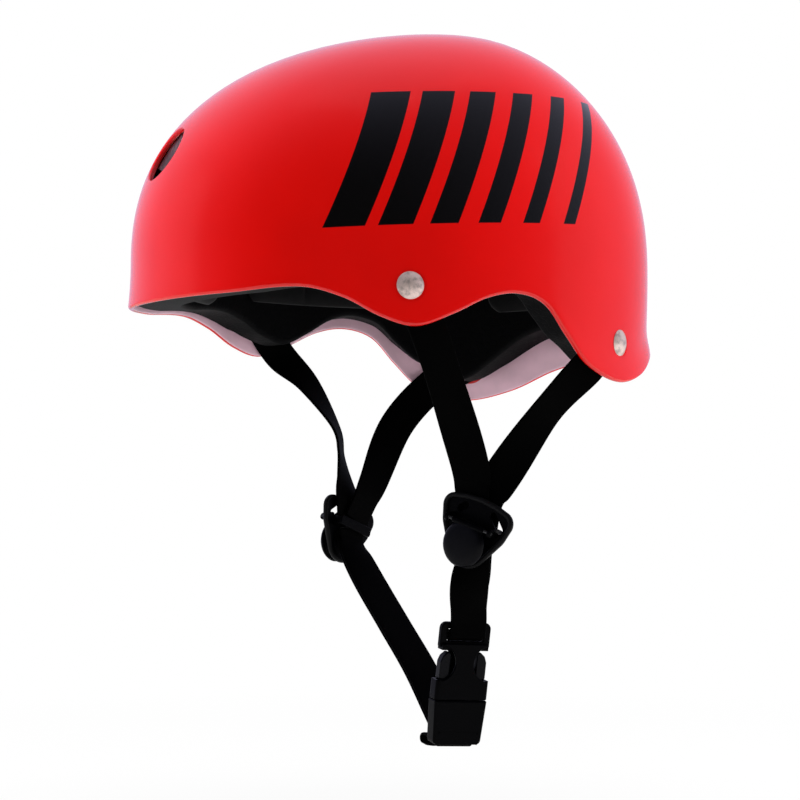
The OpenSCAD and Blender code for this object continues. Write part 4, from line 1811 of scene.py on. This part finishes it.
@dataclass(frozen=True)
class BuckleSizes:
    """The side-release buckle's sizes in its own frame, in millimetres."""

    half: float = 14.5
    half_t: float = 4.0
    wall: float = 1.5
    corner_r: float = 1.8
    collar: float = 9.6
    face_proud: float = 0.03
    face_low: float = 0.45
    face_overlap: float = 0.1
    notch_r: float = 9.0
    notch_u: float = 14.0
    notch_v: float = 18.3
    notch_steps: int = 28
    notch_cut: tuple[int, int] = (2, 27)
    shoulder: float = 28.0
    shoulder_half: float = 12.0
    core_half: float = 12.8
    core_low: float = 24.6
    core_play: float = 0.3
    core_sink: float = 0.2
    top: float = 38.5
    top_r: float = 3.2
    ladder_half: float = 13.8
    ladder_low: float = 26.0
    ladder_t: float = 1.6
    ladder_bar: Pair = (32.0, 1.2)
    ladder_window: Pair = (29.1, 35.2)
    bar_sink: float = 0.5
    slot_half: float = 10.2
    slot_r: float = 0.8
    plug_top: float = -0.3
    plug_low: float = -22.5
    plug_taper: float = 1.4
    plug_window: float = -17.2
    plug_bar: Pair = (-20.8, 1.6)
    cover_low: float = 3.35
    cover_side: float = 1.0
    cover_rise: float = 1.5
    cover_inset: float = 0.1
    guide_half: float = 3.2
    guide_low: float = -1.0
    guide_top: float = 18.7
    guide_half_t: float = 1.2
    prong_half_t: float = 2.3
    prong: tuple[Spot, ...] = (
        (8.5, -1.8, 0.5), (11.1, -1.8, 0.5), (11.1, 10.1, 0.3), (12.8, 10.1, 0.8), (12.8, 18.7, 2.2),
        (11.6, 21.7, 1.6), (8.8, 24.0, 1.2), (7.4, 23.0, 0.5), (7.4, 9.8, 0.8), (8.5, 4.7, 0.8))


@dataclass(frozen=True)
class Webbing(Maker):
    """Every strap of the helmet. Sizes in millimetres."""

    buckle: BuckleSizes = BuckleSizes()
    ring_points: int = 16
    ring_steps: int = 3
    bar_play: float = 0.15
    over_play: float = 0.3
    over_run: float = 7.0
    chin_bend: Spot = (12.6, 4.0, -207.5)
    chin_last: Pair = (18.3, 2.6)
    tail: tuple[Spot, ...] = ((-1.2, 0, -23.2), (-5, -0.5, -24.2), (-9.7, -1.6, -24.3), (-12.7, -2.5, -22.7),
                              (-12, -2.8, -20.7), (-8.5, -2.6, -19.9), (-5.2, -2.3, -20.1))

    def ribbon(self, stations: Sequence[Station], layers: int = 1, steps: int = 14) -> Ribbon:
        """Gives webbing of the helmet's own width and thickness."""
        return Ribbon(stations, self.sizes.webbing_w, self.sizes.webbing_t, layers, steps)

    def wall_station(self, side: Side, spot: Pair, turn: float,
                     level: float) -> tuple[Vector, Vector]:
        """Gives a place under the shell's wall.

        Args:
            side: The side of the head.
            spot: A rivet's angle and height.
            turn: Degrees from the rivet.
            level: The place's height.

        Returns:
            The webbing's middle there in millimetres, and the wall's normal.
        """
        s = self.sizes
        angle = side.value * (spot[0] + turn)
        normal = s.outer.normal(angle, level)
        depth = s.wall + s.strap_gap + s.webbing_t / 2
        return s.outer.point(angle, level) / MM - normal * depth, normal

    def hung(self, side: Side, spot: Pair, top: Pair, low: Pair,
             run: Sequence[Station]) -> Ribbon:
        """Gives a strap that hangs from a rivet.

        Args:
            side: The side of the head.
            spot: The rivet's angle and height.
            top: Turn from the rivet and height of the strap's upper end.
            low: Turn from the rivet and height where it leaves the shell.
            run: The stations of its free run.

        Returns:
            The strap.
        """
        places = [self.wall_station(side, spot, *place) for place in (top, (0, spot[1]), low)]
        line = (places[2][0] - places[0][0]).normalized()
        seated = [Station(tuple(p), tuple(n.cross(line) * side.value)) for p, n in places]
        return self.ribbon(seated + list(run))

    def make(self, name: str, ribbons: Sequence[Ribbon], nodes: Sequence[str],
             body: str = "helmet") -> bpy.types.Object:
        """Builds one strap piece from its ribbons.

        Args:
            name: The piece's name.
            ribbons: Its lengths of webbing.
            nodes: The CAD nodes that it stands for.
            body: The body that it moves with, or nothing.

        Returns:
            The piece.
        """
        bm = bmesh.new()
        for ribbon in ribbons:
            ribbon.add(bm)
        return piece(name, bm, body, [self.wardrobe.webbing], nodes)

    def left_runs(self) -> tuple[tuple[Station, ...], tuple[Station, ...]]:
        """Gives the free runs of the left side's straps.

        Returns:
            The stations of the front and of the rear one, down to the divider's back.
        """
        seat = SEATS[Side.LEFT]
        front = (Station((92, -19.6, -68.4), (0.1, 0.9, 0.4)), Station((78.3, -1, -103.4), (0.6, 0.75, 0.2)),
                 on_seat(seat, (-1.5, -8.7, 15.6), (0, 0.88, 0.47)),
                 on_seat(seat, (-1.1, -1.3, 1), (0, 0.88, 0.47)))
        rear = (Station((86.5, 38.4, -76.6), (-0.3, 0.75, -0.55)),
                Station((80.3, 14.7, -110.8), (0.4, 0.75, -0.5)),
                on_seat(seat, (-3.7, -0.6, 14.8), (0, 1, 0.08)),
                on_seat(seat, (-3.2, 0.9, 1.3), (0, 1, 0.08)))
        return front, rear

    def right_runs(self) -> tuple[tuple[Station, ...], tuple[Station, ...]]:
        """Gives the free runs of the right side's straps.

        Returns:
            The stations of the front and of the rear one, down to the divider's back.
        """
        seat = SEATS[Side.RIGHT]
        front = (Station((-94, -14, -54), (-0.5, 0.82, 0.3)), Station((-88, 0, -78), (-0.75, 0.62, -0.1)),
                 Station((-84.4, 1.8, -93), (-0.82, 0.53, -0.14)),
                 Station((-78.4, 1.8, -108), (-0.64, 0.77, -0.2)),
                 on_seat(seat, (-2.1, -6.2, 12.9), (0, 0.9, 0.43)),
                 on_seat(seat, (-1.1, -0.4, 1.1), (0, 0.9, 0.43)))
        rear = (Station((-85.5, 36, -77), (0.3, 0.75, -0.55)),
                Station((-75.5, 17.2, -109), (-0.2, 0.9, -0.4)),
                on_seat(seat, (-4.8, 3.2, 13.9), (0, 1, 0.1)), on_seat(seat, (-3.4, 1.2, 2.9), (0, 1, 0.1)))
        return front, rear

    def build(self) -> None:
        """Builds the four side straps and the chin straps."""
        s = self.sizes
        (left_front, left_rear), (right_front, right_rear) = self.left_runs(), self.right_runs()
        front_top, rear = (-1.5, -10), ((4.5, -38), (-9, -53))
        for name, side, spot, ends, run in (
                ("left_front", Side.LEFT, s.front_rivet, (front_top, (4.6, -38)), left_front),
                ("left_rear", Side.LEFT, s.rear_rivet, rear, left_rear),
                ("right_front", Side.RIGHT, s.front_rivet, (front_top, (7.0, -38)), right_front),
                ("right_rear", Side.RIGHT, s.rear_rivet, rear, right_rear)):
            self.make(f"webbing_{name}", [self.hung(side, spot, *ends, run)], [f"{name}_strap"])
        self.build_left_chin()
        self.build_right_chin()

    def ring_round(self, bar: Pair) -> Ribbon:
        """Gives the webbing that goes once round a bar of the buckle.

        Args:
            bar: The bar's height and radius.

        Returns:
            The webbing.
        """
        up, radius = bar[0], bar[1] + self.bar_play + self.sizes.webbing_t / 2
        turns = [math.tau * k / self.ring_points for k in range(self.ring_points + 1)]
        spots = [BUCKLE.spot(radius * math.cos(t), 0, up + radius * math.sin(t)) for t in turns]
        return self.ribbon([Station(spot, BUCKLE.across) for spot in spots], steps=self.ring_steps)

    def build_left_chin(self) -> None:
        """Builds the left chin strap, over the ladder's top and with its loop round the ladder's bar."""
        seat, b = SEATS[Side.LEFT], self.buckle
        over = b.ladder_bar[1] + self.over_play + self.sizes.webbing_t
        near = (on_seat(seat, (-2.1, 0.4, -3.4), (0, 1, 0.2)), on_seat(seat, (-3.1, 2.9, -16), (0, 1, 0.1)),
                Station((70.9, 2.6, -163), (0.45, 0.9, 0)), Station((66.6, 4.4, -173.5), BUCKLE.across),
                Station(BUCKLE.spot(over, 0, b.top), BUCKLE.across),
                Station(BUCKLE.spot(over, 0, b.top - self.over_run), BUCKLE.across))
        self.make("webbing_left_chin", [self.ribbon(near, 2), self.ring_round(b.ladder_bar)],
                  ["left_chin_strap"])

    def build_right_chin(self) -> None:
        """Builds the right chin strap, with its loop and folded tail."""
        seat, b = SEATS[Side.RIGHT], self.buckle
        bar = BUCKLE.spot(0, 0, b.plug_bar[0])
        bend = self.chin_bend
        way = (Vector(bend) - Vector(bar)).normalized()
        far = (on_seat(seat, (-2.1, 0.1, -1.9), (0, 1, 0.1)), on_seat(seat, (-2.9, 2, -8.6), (0, 1, 0.1)),
               Station((-66, 3.3, -150.5), (-0.2, 0.98, 0)), Station((-48, 3.6, -165), (0, 1, 0)),
               Station((-18, 3.8, -186), (0, 1, 0)), Station(bend, (0, 1, 0)),
               *(Station(tuple(Vector(bar) + way * off), BUCKLE.across) for off in self.chin_last))
        tail = [Station(BUCKLE.spot(*spot), BUCKLE.across) for spot in self.tail]
        strap = self.make("webbing_right_chin",
                          [self.ribbon(far, 2), self.ring_round(b.plug_bar), self.ribbon(tail)],
                          ["right_chin_strap", "plug_strap_loop"], "")
        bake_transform(strap)


@dataclass(frozen=True)
class DividerSizes:
    """A divider's sizes in its own frame, in millimetres."""

    width: float = 41.0
    corner_r: float = 6.3
    corner_v: float = 7.0
    arch: tuple[Spot, ...] = ((-7.0, 2.85, 12.0), (0.0, 3.4, 12.0), (7.0, 2.85, 12.0))
    plate_t: float = 1.3
    plate_inset: float = 1.0
    rim_t: float = 2.9
    rim_w: float = 2.5
    rim_round: float = 1.1
    cap_v: float = -8.3
    cap_d: float = 23.2
    foot_v: float = -9.0
    foot_r: float = 11.7
    foot_w: float = 3.7
    cap_low: float = 6.1
    cap_high: float = 9.3
    cap_drop: tuple[Pair, ...] = (
        (0, 0), (3, 0.02), (6, 0.1), (8.2, 0.24), (9.4, 0.42), (10.2, 0.7), (10.8, 1.1), (11.2, 1.6))
    cap_edge: float = 2.3
    arm_half: float = 5.0
    arm_low: float = -3.0
    arm_raise: Pair = (0.5, -0.7)
    hinge_w: float = 7.6
    hinge_v: float = 1.5
    pin_hole_r: float = 0.86
    barrel_r: float = 1.6
    barrel_half: float = 9.2
    barrel_round: float = 0.3
    lug: Pair = (11.9, 13.6)
    lug_r: float = 1.9
    lug_foot: Spot = (1.4, 1.6, 0.8)
    edge_round: float = 0.35
    slot_r: float = 1.8
    rear_slot: tuple[Pair, Pair] = ((8.2, 9.0), (13.9, 3.4))
    front_slot: tuple[Pair, Pair] = ((-8.2, 9.0), (-13.9, 3.4))
    bridge: Spot = (12.6, -2.8, 2.6)
    bridge_w: Pair = (-6.1, -4.9)
    bridge_r: float = 1.6
    post_r: float = 0.9
    post_inset: float = 1.2
    post_w: Pair = (-5.8, 0.4)


@dataclass(frozen=True)
class Divider:
    """One moulded divider and its round lock cap."""

    side: Side
    sizes: DividerSizes
    wardrobe: Wardrobe

    @property
    def seat(self) -> Seat:
        """The divider's frame."""
        return SEATS[self.side]

    @property
    def name(self) -> str:
        """The side's name."""
        return self.side.name.lower()

    def build_plate(self) -> None:
        """Builds the plate: a floor with its slots, a round raised rim, and the two hinge lugs."""
        d = self.sizes
        corner = d.width / 2 - d.corner_r
        outline = pulled_round([(-corner, d.corner_v, d.corner_r), (corner, d.corner_v, d.corner_r),
                                (0, d.foot_v, d.foot_r), *d.arch], points=180)
        slots = [pulled_round([(u, v, d.slot_r) for u, v in slot], points=28)
                 for slot in (d.rear_slot, d.front_slot)]
        window = pulled_round([(0, d.foot_v, d.foot_r - d.foot_w)])
        bm = bmesh.new()
        place = self.seat.matrix()
        Slab(set_in(outline, d.plate_inset), 0.0, d.plate_t, (*slots, window), d.edge_round).add(bm, place)
        # The raised rim takes slot 1, a lighter black than the plate.
        Slab(outline, 0.0, d.rim_t, (set_in(outline, d.rim_w),), d.rim_round, 6, material=1).add(bm, place)
        foot_out, foot_up, foot_r = d.lug_foot
        lug = pulled_round([(d.hinge_w, d.hinge_v, d.lug_r), (foot_out, d.hinge_v - foot_up, foot_r),
                            (foot_out, d.hinge_v + foot_up, foot_r)], points=40)
        inner, outer = d.lug
        for low, high in ((inner, outer), (-outer, -inner)):
            Slab(lug, low, high, soft=d.edge_round).add(bm, self.seat.matrix(order="aou"))
        self.add_bridge(bm)
        piece(f"divider_plate_{self.name}", bm, "helmet", [self.wardrobe.plastic, self.wardrobe.rim_plastic],
              [f"{self.name}_divider"])

    def add_bridge(self, bm: BMesh) -> None:
        """Adds the flat bridge that holds the straps to the back of the plate, and its two posts.

        Args:
            bm: The divider's mesh.
        """
        d = self.sizes
        half, low, high = d.bridge
        place = self.seat.matrix()
        Slab(rounded_box(half, low, high, d.bridge_r), *d.bridge_w, soft=0.45).add(bm, place)
        for side in (1, -1):
            post = pulled_round([(side * (half - d.post_inset), v, d.post_r)
                                 for v in (low + d.post_inset, high - d.post_inset)], points=24)
            Slab(post, *d.post_w, soft=0.2).add(bm, place)

    def build_cap(self) -> None:
        """Builds the lock cap: a low dome on an arm that ends in its hinge barrel."""
        d = self.sizes
        r, low, high = d.cap_d / 2, d.cap_low, d.cap_high
        crown = ((reach, high - drop) for reach, drop in (*d.cap_drop, (r, d.cap_edge)))
        bm = bmesh.new()
        Lathe((*crown, (r - 0.1, low + 0.4), (r - 0.5, low), (0, low)), turns=72,
              material=1).add(bm, self.seat.matrix((0, 0, d.cap_v)))
        arm = rounded_box(d.arm_half, d.arm_low, d.hinge_v, 1.0, 0.5)
        foot, top = d.arm_raise
        Slab(arm, low + foot, high + top, soft=0.4).add(bm, self.seat.matrix())
        half, tip = d.barrel_half, d.barrel_half - d.barrel_round
        wide, hole = d.barrel_r, d.pin_hole_r
        barrel = ((hole, -half), (wide - d.barrel_round, -half), (wide, -tip), (wide, tip),
                  (wide - d.barrel_round, half), (hole, half))
        Lathe(barrel, closed=True, turns=28).add(bm, self.seat.matrix((d.hinge_w, 0, d.hinge_v), "aou"))
        piece(f"lock_cap_{self.name}", bm, f"{self.name}_lock",
              [self.wardrobe.plastic, self.wardrobe.cap_plastic], [f"{self.name}_divider_cap"])

    def build(self) -> None:
        """Builds the divider and its cap."""
        self.build_plate()
        self.build_cap()


@dataclass(frozen=True)
class Buckle:
    """The side-release buckle: socket with its strap ladder, plug, and two sprung prongs."""

    sizes: BuckleSizes
    wardrobe: Wardrobe

    def add_bar(self, bm: BMesh, bar: Pair) -> None:
        """Adds a round bar across the buckle.

        Args:
            bm: The mesh.
            bar: The bar's height and radius.
        """
        up, r = bar
        half = self.sizes.slot_half + self.sizes.bar_sink
        place = BUCKLE.matrix((0, 0, up), "aou")
        Lathe(((0, -half), (r, -half), (r, half), (0, half)), turns=24).add(bm, place)

    def face_outline(self) -> Outline:
        """Draws a face of the socket.

        Returns:
            Its outline, with a round thumb notch in each side.
        """
        b = self.sizes
        turns = [math.radians(-90 - 180 * k / b.notch_steps) for k in range(b.notch_steps + 1)]
        notch = [(b.notch_u + b.notch_r * math.cos(t), b.notch_v + b.notch_r * math.sin(t)) for t in turns]
        side = b.half - b.corner_r
        right = [(side, b.face_low), (side, b.collar - b.face_overlap), *notch[slice(*b.notch_cut)],
                 (b.shoulder_half, b.shoulder)]
        return right + [(-u, v) for u, v in right[::-1]]

    def build_socket(self) -> None:
        """Builds the socket: collar, two faces with thumb notches, and the ladder over them."""
        b = self.sizes
        bm = bmesh.new()
        collar = rounded_box(b.half_t, -b.half, b.half, b.corner_r)
        mouth = set_in(collar, b.wall)
        Slab(collar, 0.0, b.collar, (mouth,), sharp_top=True).add(bm, BUCKLE.matrix(order="uoa"))
        place = BUCKLE.matrix()
        cavity, proud = b.half_t - b.wall, b.half_t + b.face_proud
        for low, high in ((cavity, proud), (-proud, -cavity)):
            Slab(self.face_outline(), low, high, soft=0.4).add(bm, place)
        core = rounded_box(b.core_half, b.core_low, b.shoulder - b.core_play, 0.3)
        Slab(core, -cavity - b.core_sink, cavity + b.core_sink, soft=0.2).add(bm, place)
        ladder = rounded_box(b.ladder_half, b.ladder_low, b.top, 0.6, b.top_r)
        window = rounded_box(b.slot_half, *b.ladder_window, b.slot_r)
        Slab(ladder, -b.ladder_t, b.ladder_t, (window,), soft=0.7).add(bm, place)
        self.add_bar(bm, b.ladder_bar)
        piece("buckle_socket_body", bm, "helmet", [self.wardrobe.plastic], ["buckle_socket"])

    def build_plug(self) -> None:
        """Builds the plug's base with its strap bar, and the guide that runs into the socket."""
        b = self.sizes
        bm = bmesh.new()
        place = BUCKLE.matrix()
        right = [(b.slot_half, b.plug_window, 1.4), (b.slot_half, b.plug_low, b.slot_r),
                 (b.half - b.plug_taper, b.plug_low, 2.4), (b.half, b.plug_top, 0.7)]
        base = filleted([(-u, v, r) for u, v, r in right[::-1]] + right)
        Slab(base, -b.half_t, b.half_t, soft=1.0, rings=6).add(bm, place)
        cover = rounded_box(b.slot_half + b.cover_side, b.plug_low + b.cover_inset,
                            b.plug_window + b.cover_rise, 0.4)
        Slab(cover, b.cover_low, b.half_t, soft=0.2).add(bm, place)
        guide = rounded_box(b.guide_half, b.guide_low, b.guide_top, 0.4, 0.8)
        Slab(guide, -b.guide_half_t, b.guide_half_t, soft=0.3).add(bm, place)
        self.add_bar(bm, b.plug_bar)
        piece("buckle_plug_body", bm, "plug", [self.wardrobe.plastic], ["buckle_plug"])

    def build_prong(self, side: int, body: str) -> None:
        """Builds one prong.

        Args:
            side: 1 for the rear one and -1 for the front one.
            body: The body and node of the prong.
        """
        b = self.sizes
        corners = b.prong if side > 0 else [(-u, v, r) for u, v, r in b.prong[::-1]]
        bm = bmesh.new()
        Slab(filleted(corners, steps=5), -b.prong_half_t, b.prong_half_t, soft=0.6).add(bm, BUCKLE.matrix())
        piece(f"{body}_arm", bm, body, [self.wardrobe.cap_plastic], [body])

    def build(self) -> None:
        """Builds the whole buckle."""
        self.build_socket()
        self.build_plug()
        for side, body in ((1, "rear_prong"), (-1, "front_prong")):
            self.build_prong(side, body)


@dataclass(frozen=True)
class Rivets(Maker):
    """The four domed rivets that hold the side straps. Sizes in millimetres."""

    turns: int = 48
    dome_steps: int = 12
    rim_inset: float = 0.05
    rim_height: float = 0.12
    washer_gap: float = 0.4
    washer_t: float = 1.0
    tail_r: float = 4.0
    tail_round: float = 0.4
    tail_t: float = 0.8
    tail_flat: float = 0.6

    def profile(self) -> list[Pair]:
        """Draws half of a rivet.

        Returns:
            Radius and height over the shell's face, from the head's crown to the tail.
        """
        s = self.sizes
        head, rise, shank = s.rivet_d / 2, s.rivet_h, s.shank_d / 2
        bulge = (head * head + rise * rise) / (2 * rise)
        sweep = math.asin(head / bulge)
        turns = [sweep * k / self.dome_steps for k in range(self.dome_steps)]
        arc = [(bulge * math.sin(t), bulge * (math.cos(t) - 1) + rise - s.rivet_seat) for t in turns]
        edge = head - self.rim_inset
        low = -(s.wall + s.strap_gap + s.webbing_t + self.washer_gap + self.washer_t)
        return arc + [(edge, self.rim_height - s.rivet_seat), (edge, -s.rivet_seat), (shank, -s.rivet_seat),
                      (shank, low), (self.tail_r, low), (self.tail_r, low - self.tail_flat),
                      (self.tail_r - self.tail_round, low - self.tail_t), (0.0, low - self.tail_t)]

    def build(self) -> None:
        """Builds the rivets as one piece of spun heads and shanks."""
        bm = bmesh.new()
        for centre, axis in self.sizes.rivet_seats():
            verts = [bm.verts.new((x * MM, 0, z * MM)) for x, z in self.profile()]
            edges = [bm.edges.new(pair) for pair in zip(verts, verts[1:])]
            bmesh.ops.spin(bm, geom=verts + edges, cent=(0, 0, 0), axis=(0, 0, 1), angle=math.tau,
                           steps=self.turns, use_merge=True)
            made = [vert for vert in bm.verts if not vert.tag]
            turn = Vector((0, 0, 1)).rotation_difference(axis).to_matrix().to_4x4()
            bmesh.ops.transform(bm, matrix=Matrix.Translation(centre) @ turn, verts=made)
            for vert in made:
                vert.tag = True
        weld(bm)
        piece("rivet_heads", bm, "helmet", [self.wardrobe.steel], ["strap_rivets"])


@dataclass(frozen=True)
class Studio:
    """Camera, floor, backdrop and lights, with the camera at the photograph's place."""

    eye: Spot = (1.07702, -0.50911, -0.13991)
    back: Spot = (0.90302, -0.42534, -0.06040)
    right: Spot = (0.42612, 0.90467, 0.0)
    up: Spot = (0.05464, -0.02574, 0.99817)
    lens: float = 102.8
    sensor: float = 36.0
    floor_drop: float = 0.036
    floor_half: float = 3.0
    panel_left: Colour = (0.68, 0.68, 0.92, 1.0)
    panel_right: Colour = (0.42, 0.42, 0.56, 1.0)
    behind_camera: Colour = (0.0, 0.0, 0.0, 1.0)
    ambient: Colour = (0.47, 0.47, 0.47, 1.0)
    backdrop: Colour = (1.0, 1.0, 1.0, 1.0)
    floor_colour: Colour = (0.8, 0.8, 0.8, 1.0)

    def set_camera(self) -> None:
        """Adds the camera."""
        data = bpy.data.cameras.new("portrait_camera")
        data.lens, data.sensor_width, data.sensor_fit = self.lens, self.sensor, "HORIZONTAL"
        data.clip_start, data.clip_end = 0.05, 50.0
        camera = put("portrait_camera", data)
        turn = Matrix((self.right, self.up, self.back)).transposed().to_4x4()
        camera.matrix_world = Matrix.Translation(self.eye) @ turn
        bpy.context.scene.camera = camera

    def set_world(self) -> None:
        """Sets pale surroundings that are darker towards the camera, and white behind the object."""
        world = bpy.data.worlds.new("studio_surroundings")
        bpy.context.scene.world = world
        world.use_nodes = True
        graph = Graph(world.node_tree)
        way = graph.node("ShaderNodeTexCoord", output="Generated")
        on_camera, on_gloss = (graph.node("ShaderNodeLightPath", output=name)
                               for name in ("Is Camera Ray", "Is Glossy Ray"))
        beside = graph.towards(way, self.right)
        pale = graph.blend(beside.above(0.1, 0.8), self.panel_left, self.panel_right)
        mirrored = graph.blend(graph.towards(way, self.back).above(-0.6, 0.95), pale, self.behind_camera)
        around = graph.blend(on_gloss, self.ambient, mirrored)
        colour = graph.blend(on_camera, around, self.backdrop)
        light = graph.node("ShaderNodeBackground", {}, {"Color": colour, "Strength": 1.0})
        out = graph.tree.nodes.new("ShaderNodeOutputWorld")
        graph.tree.links.new(light.socket, out.inputs["Surface"])

    def set_lamp(self, name: str, place: Spot, size: Pair, watts: float) -> None:
        """Adds one soft rectangular lamp that faces the helmet.

        Args:
            name: The lamp's name.
            place: Where it stands, in metres.
            size: Its width and height, in metres.
            watts: Its power.
        """
        data = bpy.data.lights.new(name, "AREA")
        data.shape, data.size, data.size_y, data.energy = "RECTANGLE", size[0], size[1], watts
        lamp = put(name, data)
        lamp.visible_glossy = False
        turn = (-Vector(place)).to_track_quat("-Z", "Y").to_matrix().to_4x4()
        lamp.matrix_world = Matrix.Translation(place) @ turn

    def set_floor(self, lowest: float) -> None:
        """Adds the pale floor under the helmet, which glows for the camera as the backdrop does.

        Args:
            lowest: The height of the helmet's lowest point, in metres.
        """
        material = bpy.data.materials.new("pale_floor")
        material.use_nodes = True
        graph = Graph(material.node_tree)
        path = graph.node("ShaderNodeLightPath", output="Is Camera Ray")
        x, y, _ = graph.axes(graph.place())
        away = (x * x + y * y).above(0.05, 0.9)
        matte = graph.node("ShaderNodeBsdfDiffuse", {}, {"Color": self.floor_colour})
        glow = graph.node("ShaderNodeEmission", {}, {"Color": self.backdrop, "Strength": 1.0})
        graph.end(graph.node("ShaderNodeMixShader", {}, {0: path * (0.9 + 0.1 * away), 1: matte, 2: glow}))
        bm = bmesh.new()
        bmesh.ops.create_grid(bm, x_segments=1, y_segments=1, size=self.floor_half)
        bmesh.ops.translate(bm, verts=bm.verts[:], vec=(0, 0, lowest - self.floor_drop))
        piece("pale_floor", bm, "", [material])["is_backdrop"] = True

    def build(self, lowest: float) -> None:
        """Sets the whole studio.

        Args:
            lowest: The height of the helmet's lowest point, in metres.
        """
        self.set_camera()
        self.set_world()
        self.set_lamp("crown_lamp", (0.15, 0.1, 1.3), (1.1, 0.9), 12)
        self.set_lamp("front_lamp", (-0.55, -1.4, 0.3), (0.9, 1.2), 19)
        self.set_lamp("rear_lamp", (0.6, 1.35, 0.3), (0.9, 1.2), 18)
        self.set_floor(lowest)
        bpy.context.scene.view_settings.view_transform = "Standard"


@dataclass(frozen=True)
class Dresser:
    """Gives the CAD nodes that stay their materials."""

    wardrobe: Wardrobe

    def build(self) -> None:
        """Dresses every node by the record's material slots."""
        for entry in frame["record"]["subparts"]:
            name, slot = entry["node"], entry["material_slot"]
            worn = self.wardrobe.pin_steel if name.endswith("_pin") else self.wardrobe.slots[slot]
            materials = frame["nodes"][name].data.materials
            materials.clear()
            materials.append(worn)
            LOG.info("%s wears %s", name, slot)


def spread(bounds: Sequence[Sequence[float]]) -> list[list[float]]:
    """Turns a box into plain lists of numbers."""
    return [[float(part) for part in corner] for corner in bounds]


def main() -> None:
    """Builds the helmet and its studio."""
    logging.basicConfig(level=logging.INFO, format="%(name)s: %(message)s")
    cad_box = spread(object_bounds())
    wardrobe = Wardrobe()
    Dresser(wardrobe).build()
    Shell(SIZES, wardrobe).build()
    Liner(SIZES, wardrobe).build()
    Pads(SIZES, wardrobe).build()
    Webbing(SIZES, wardrobe).build()
    Rivets(SIZES, wardrobe).build()
    Divider(Side.LEFT, DividerSizes(front_slot=((-8.2, 9.0), (-10.6, 6.7))), wardrobe).build()
    Divider(Side.RIGHT, DividerSizes(rear_slot=((10.2, 8.4), (14.6, 3.2))), wardrobe).build()
    Buckle(BuckleSizes(), wardrobe).build()
    Studio().build(cad_box[0][2])


if __name__ == "__main__":
    main()
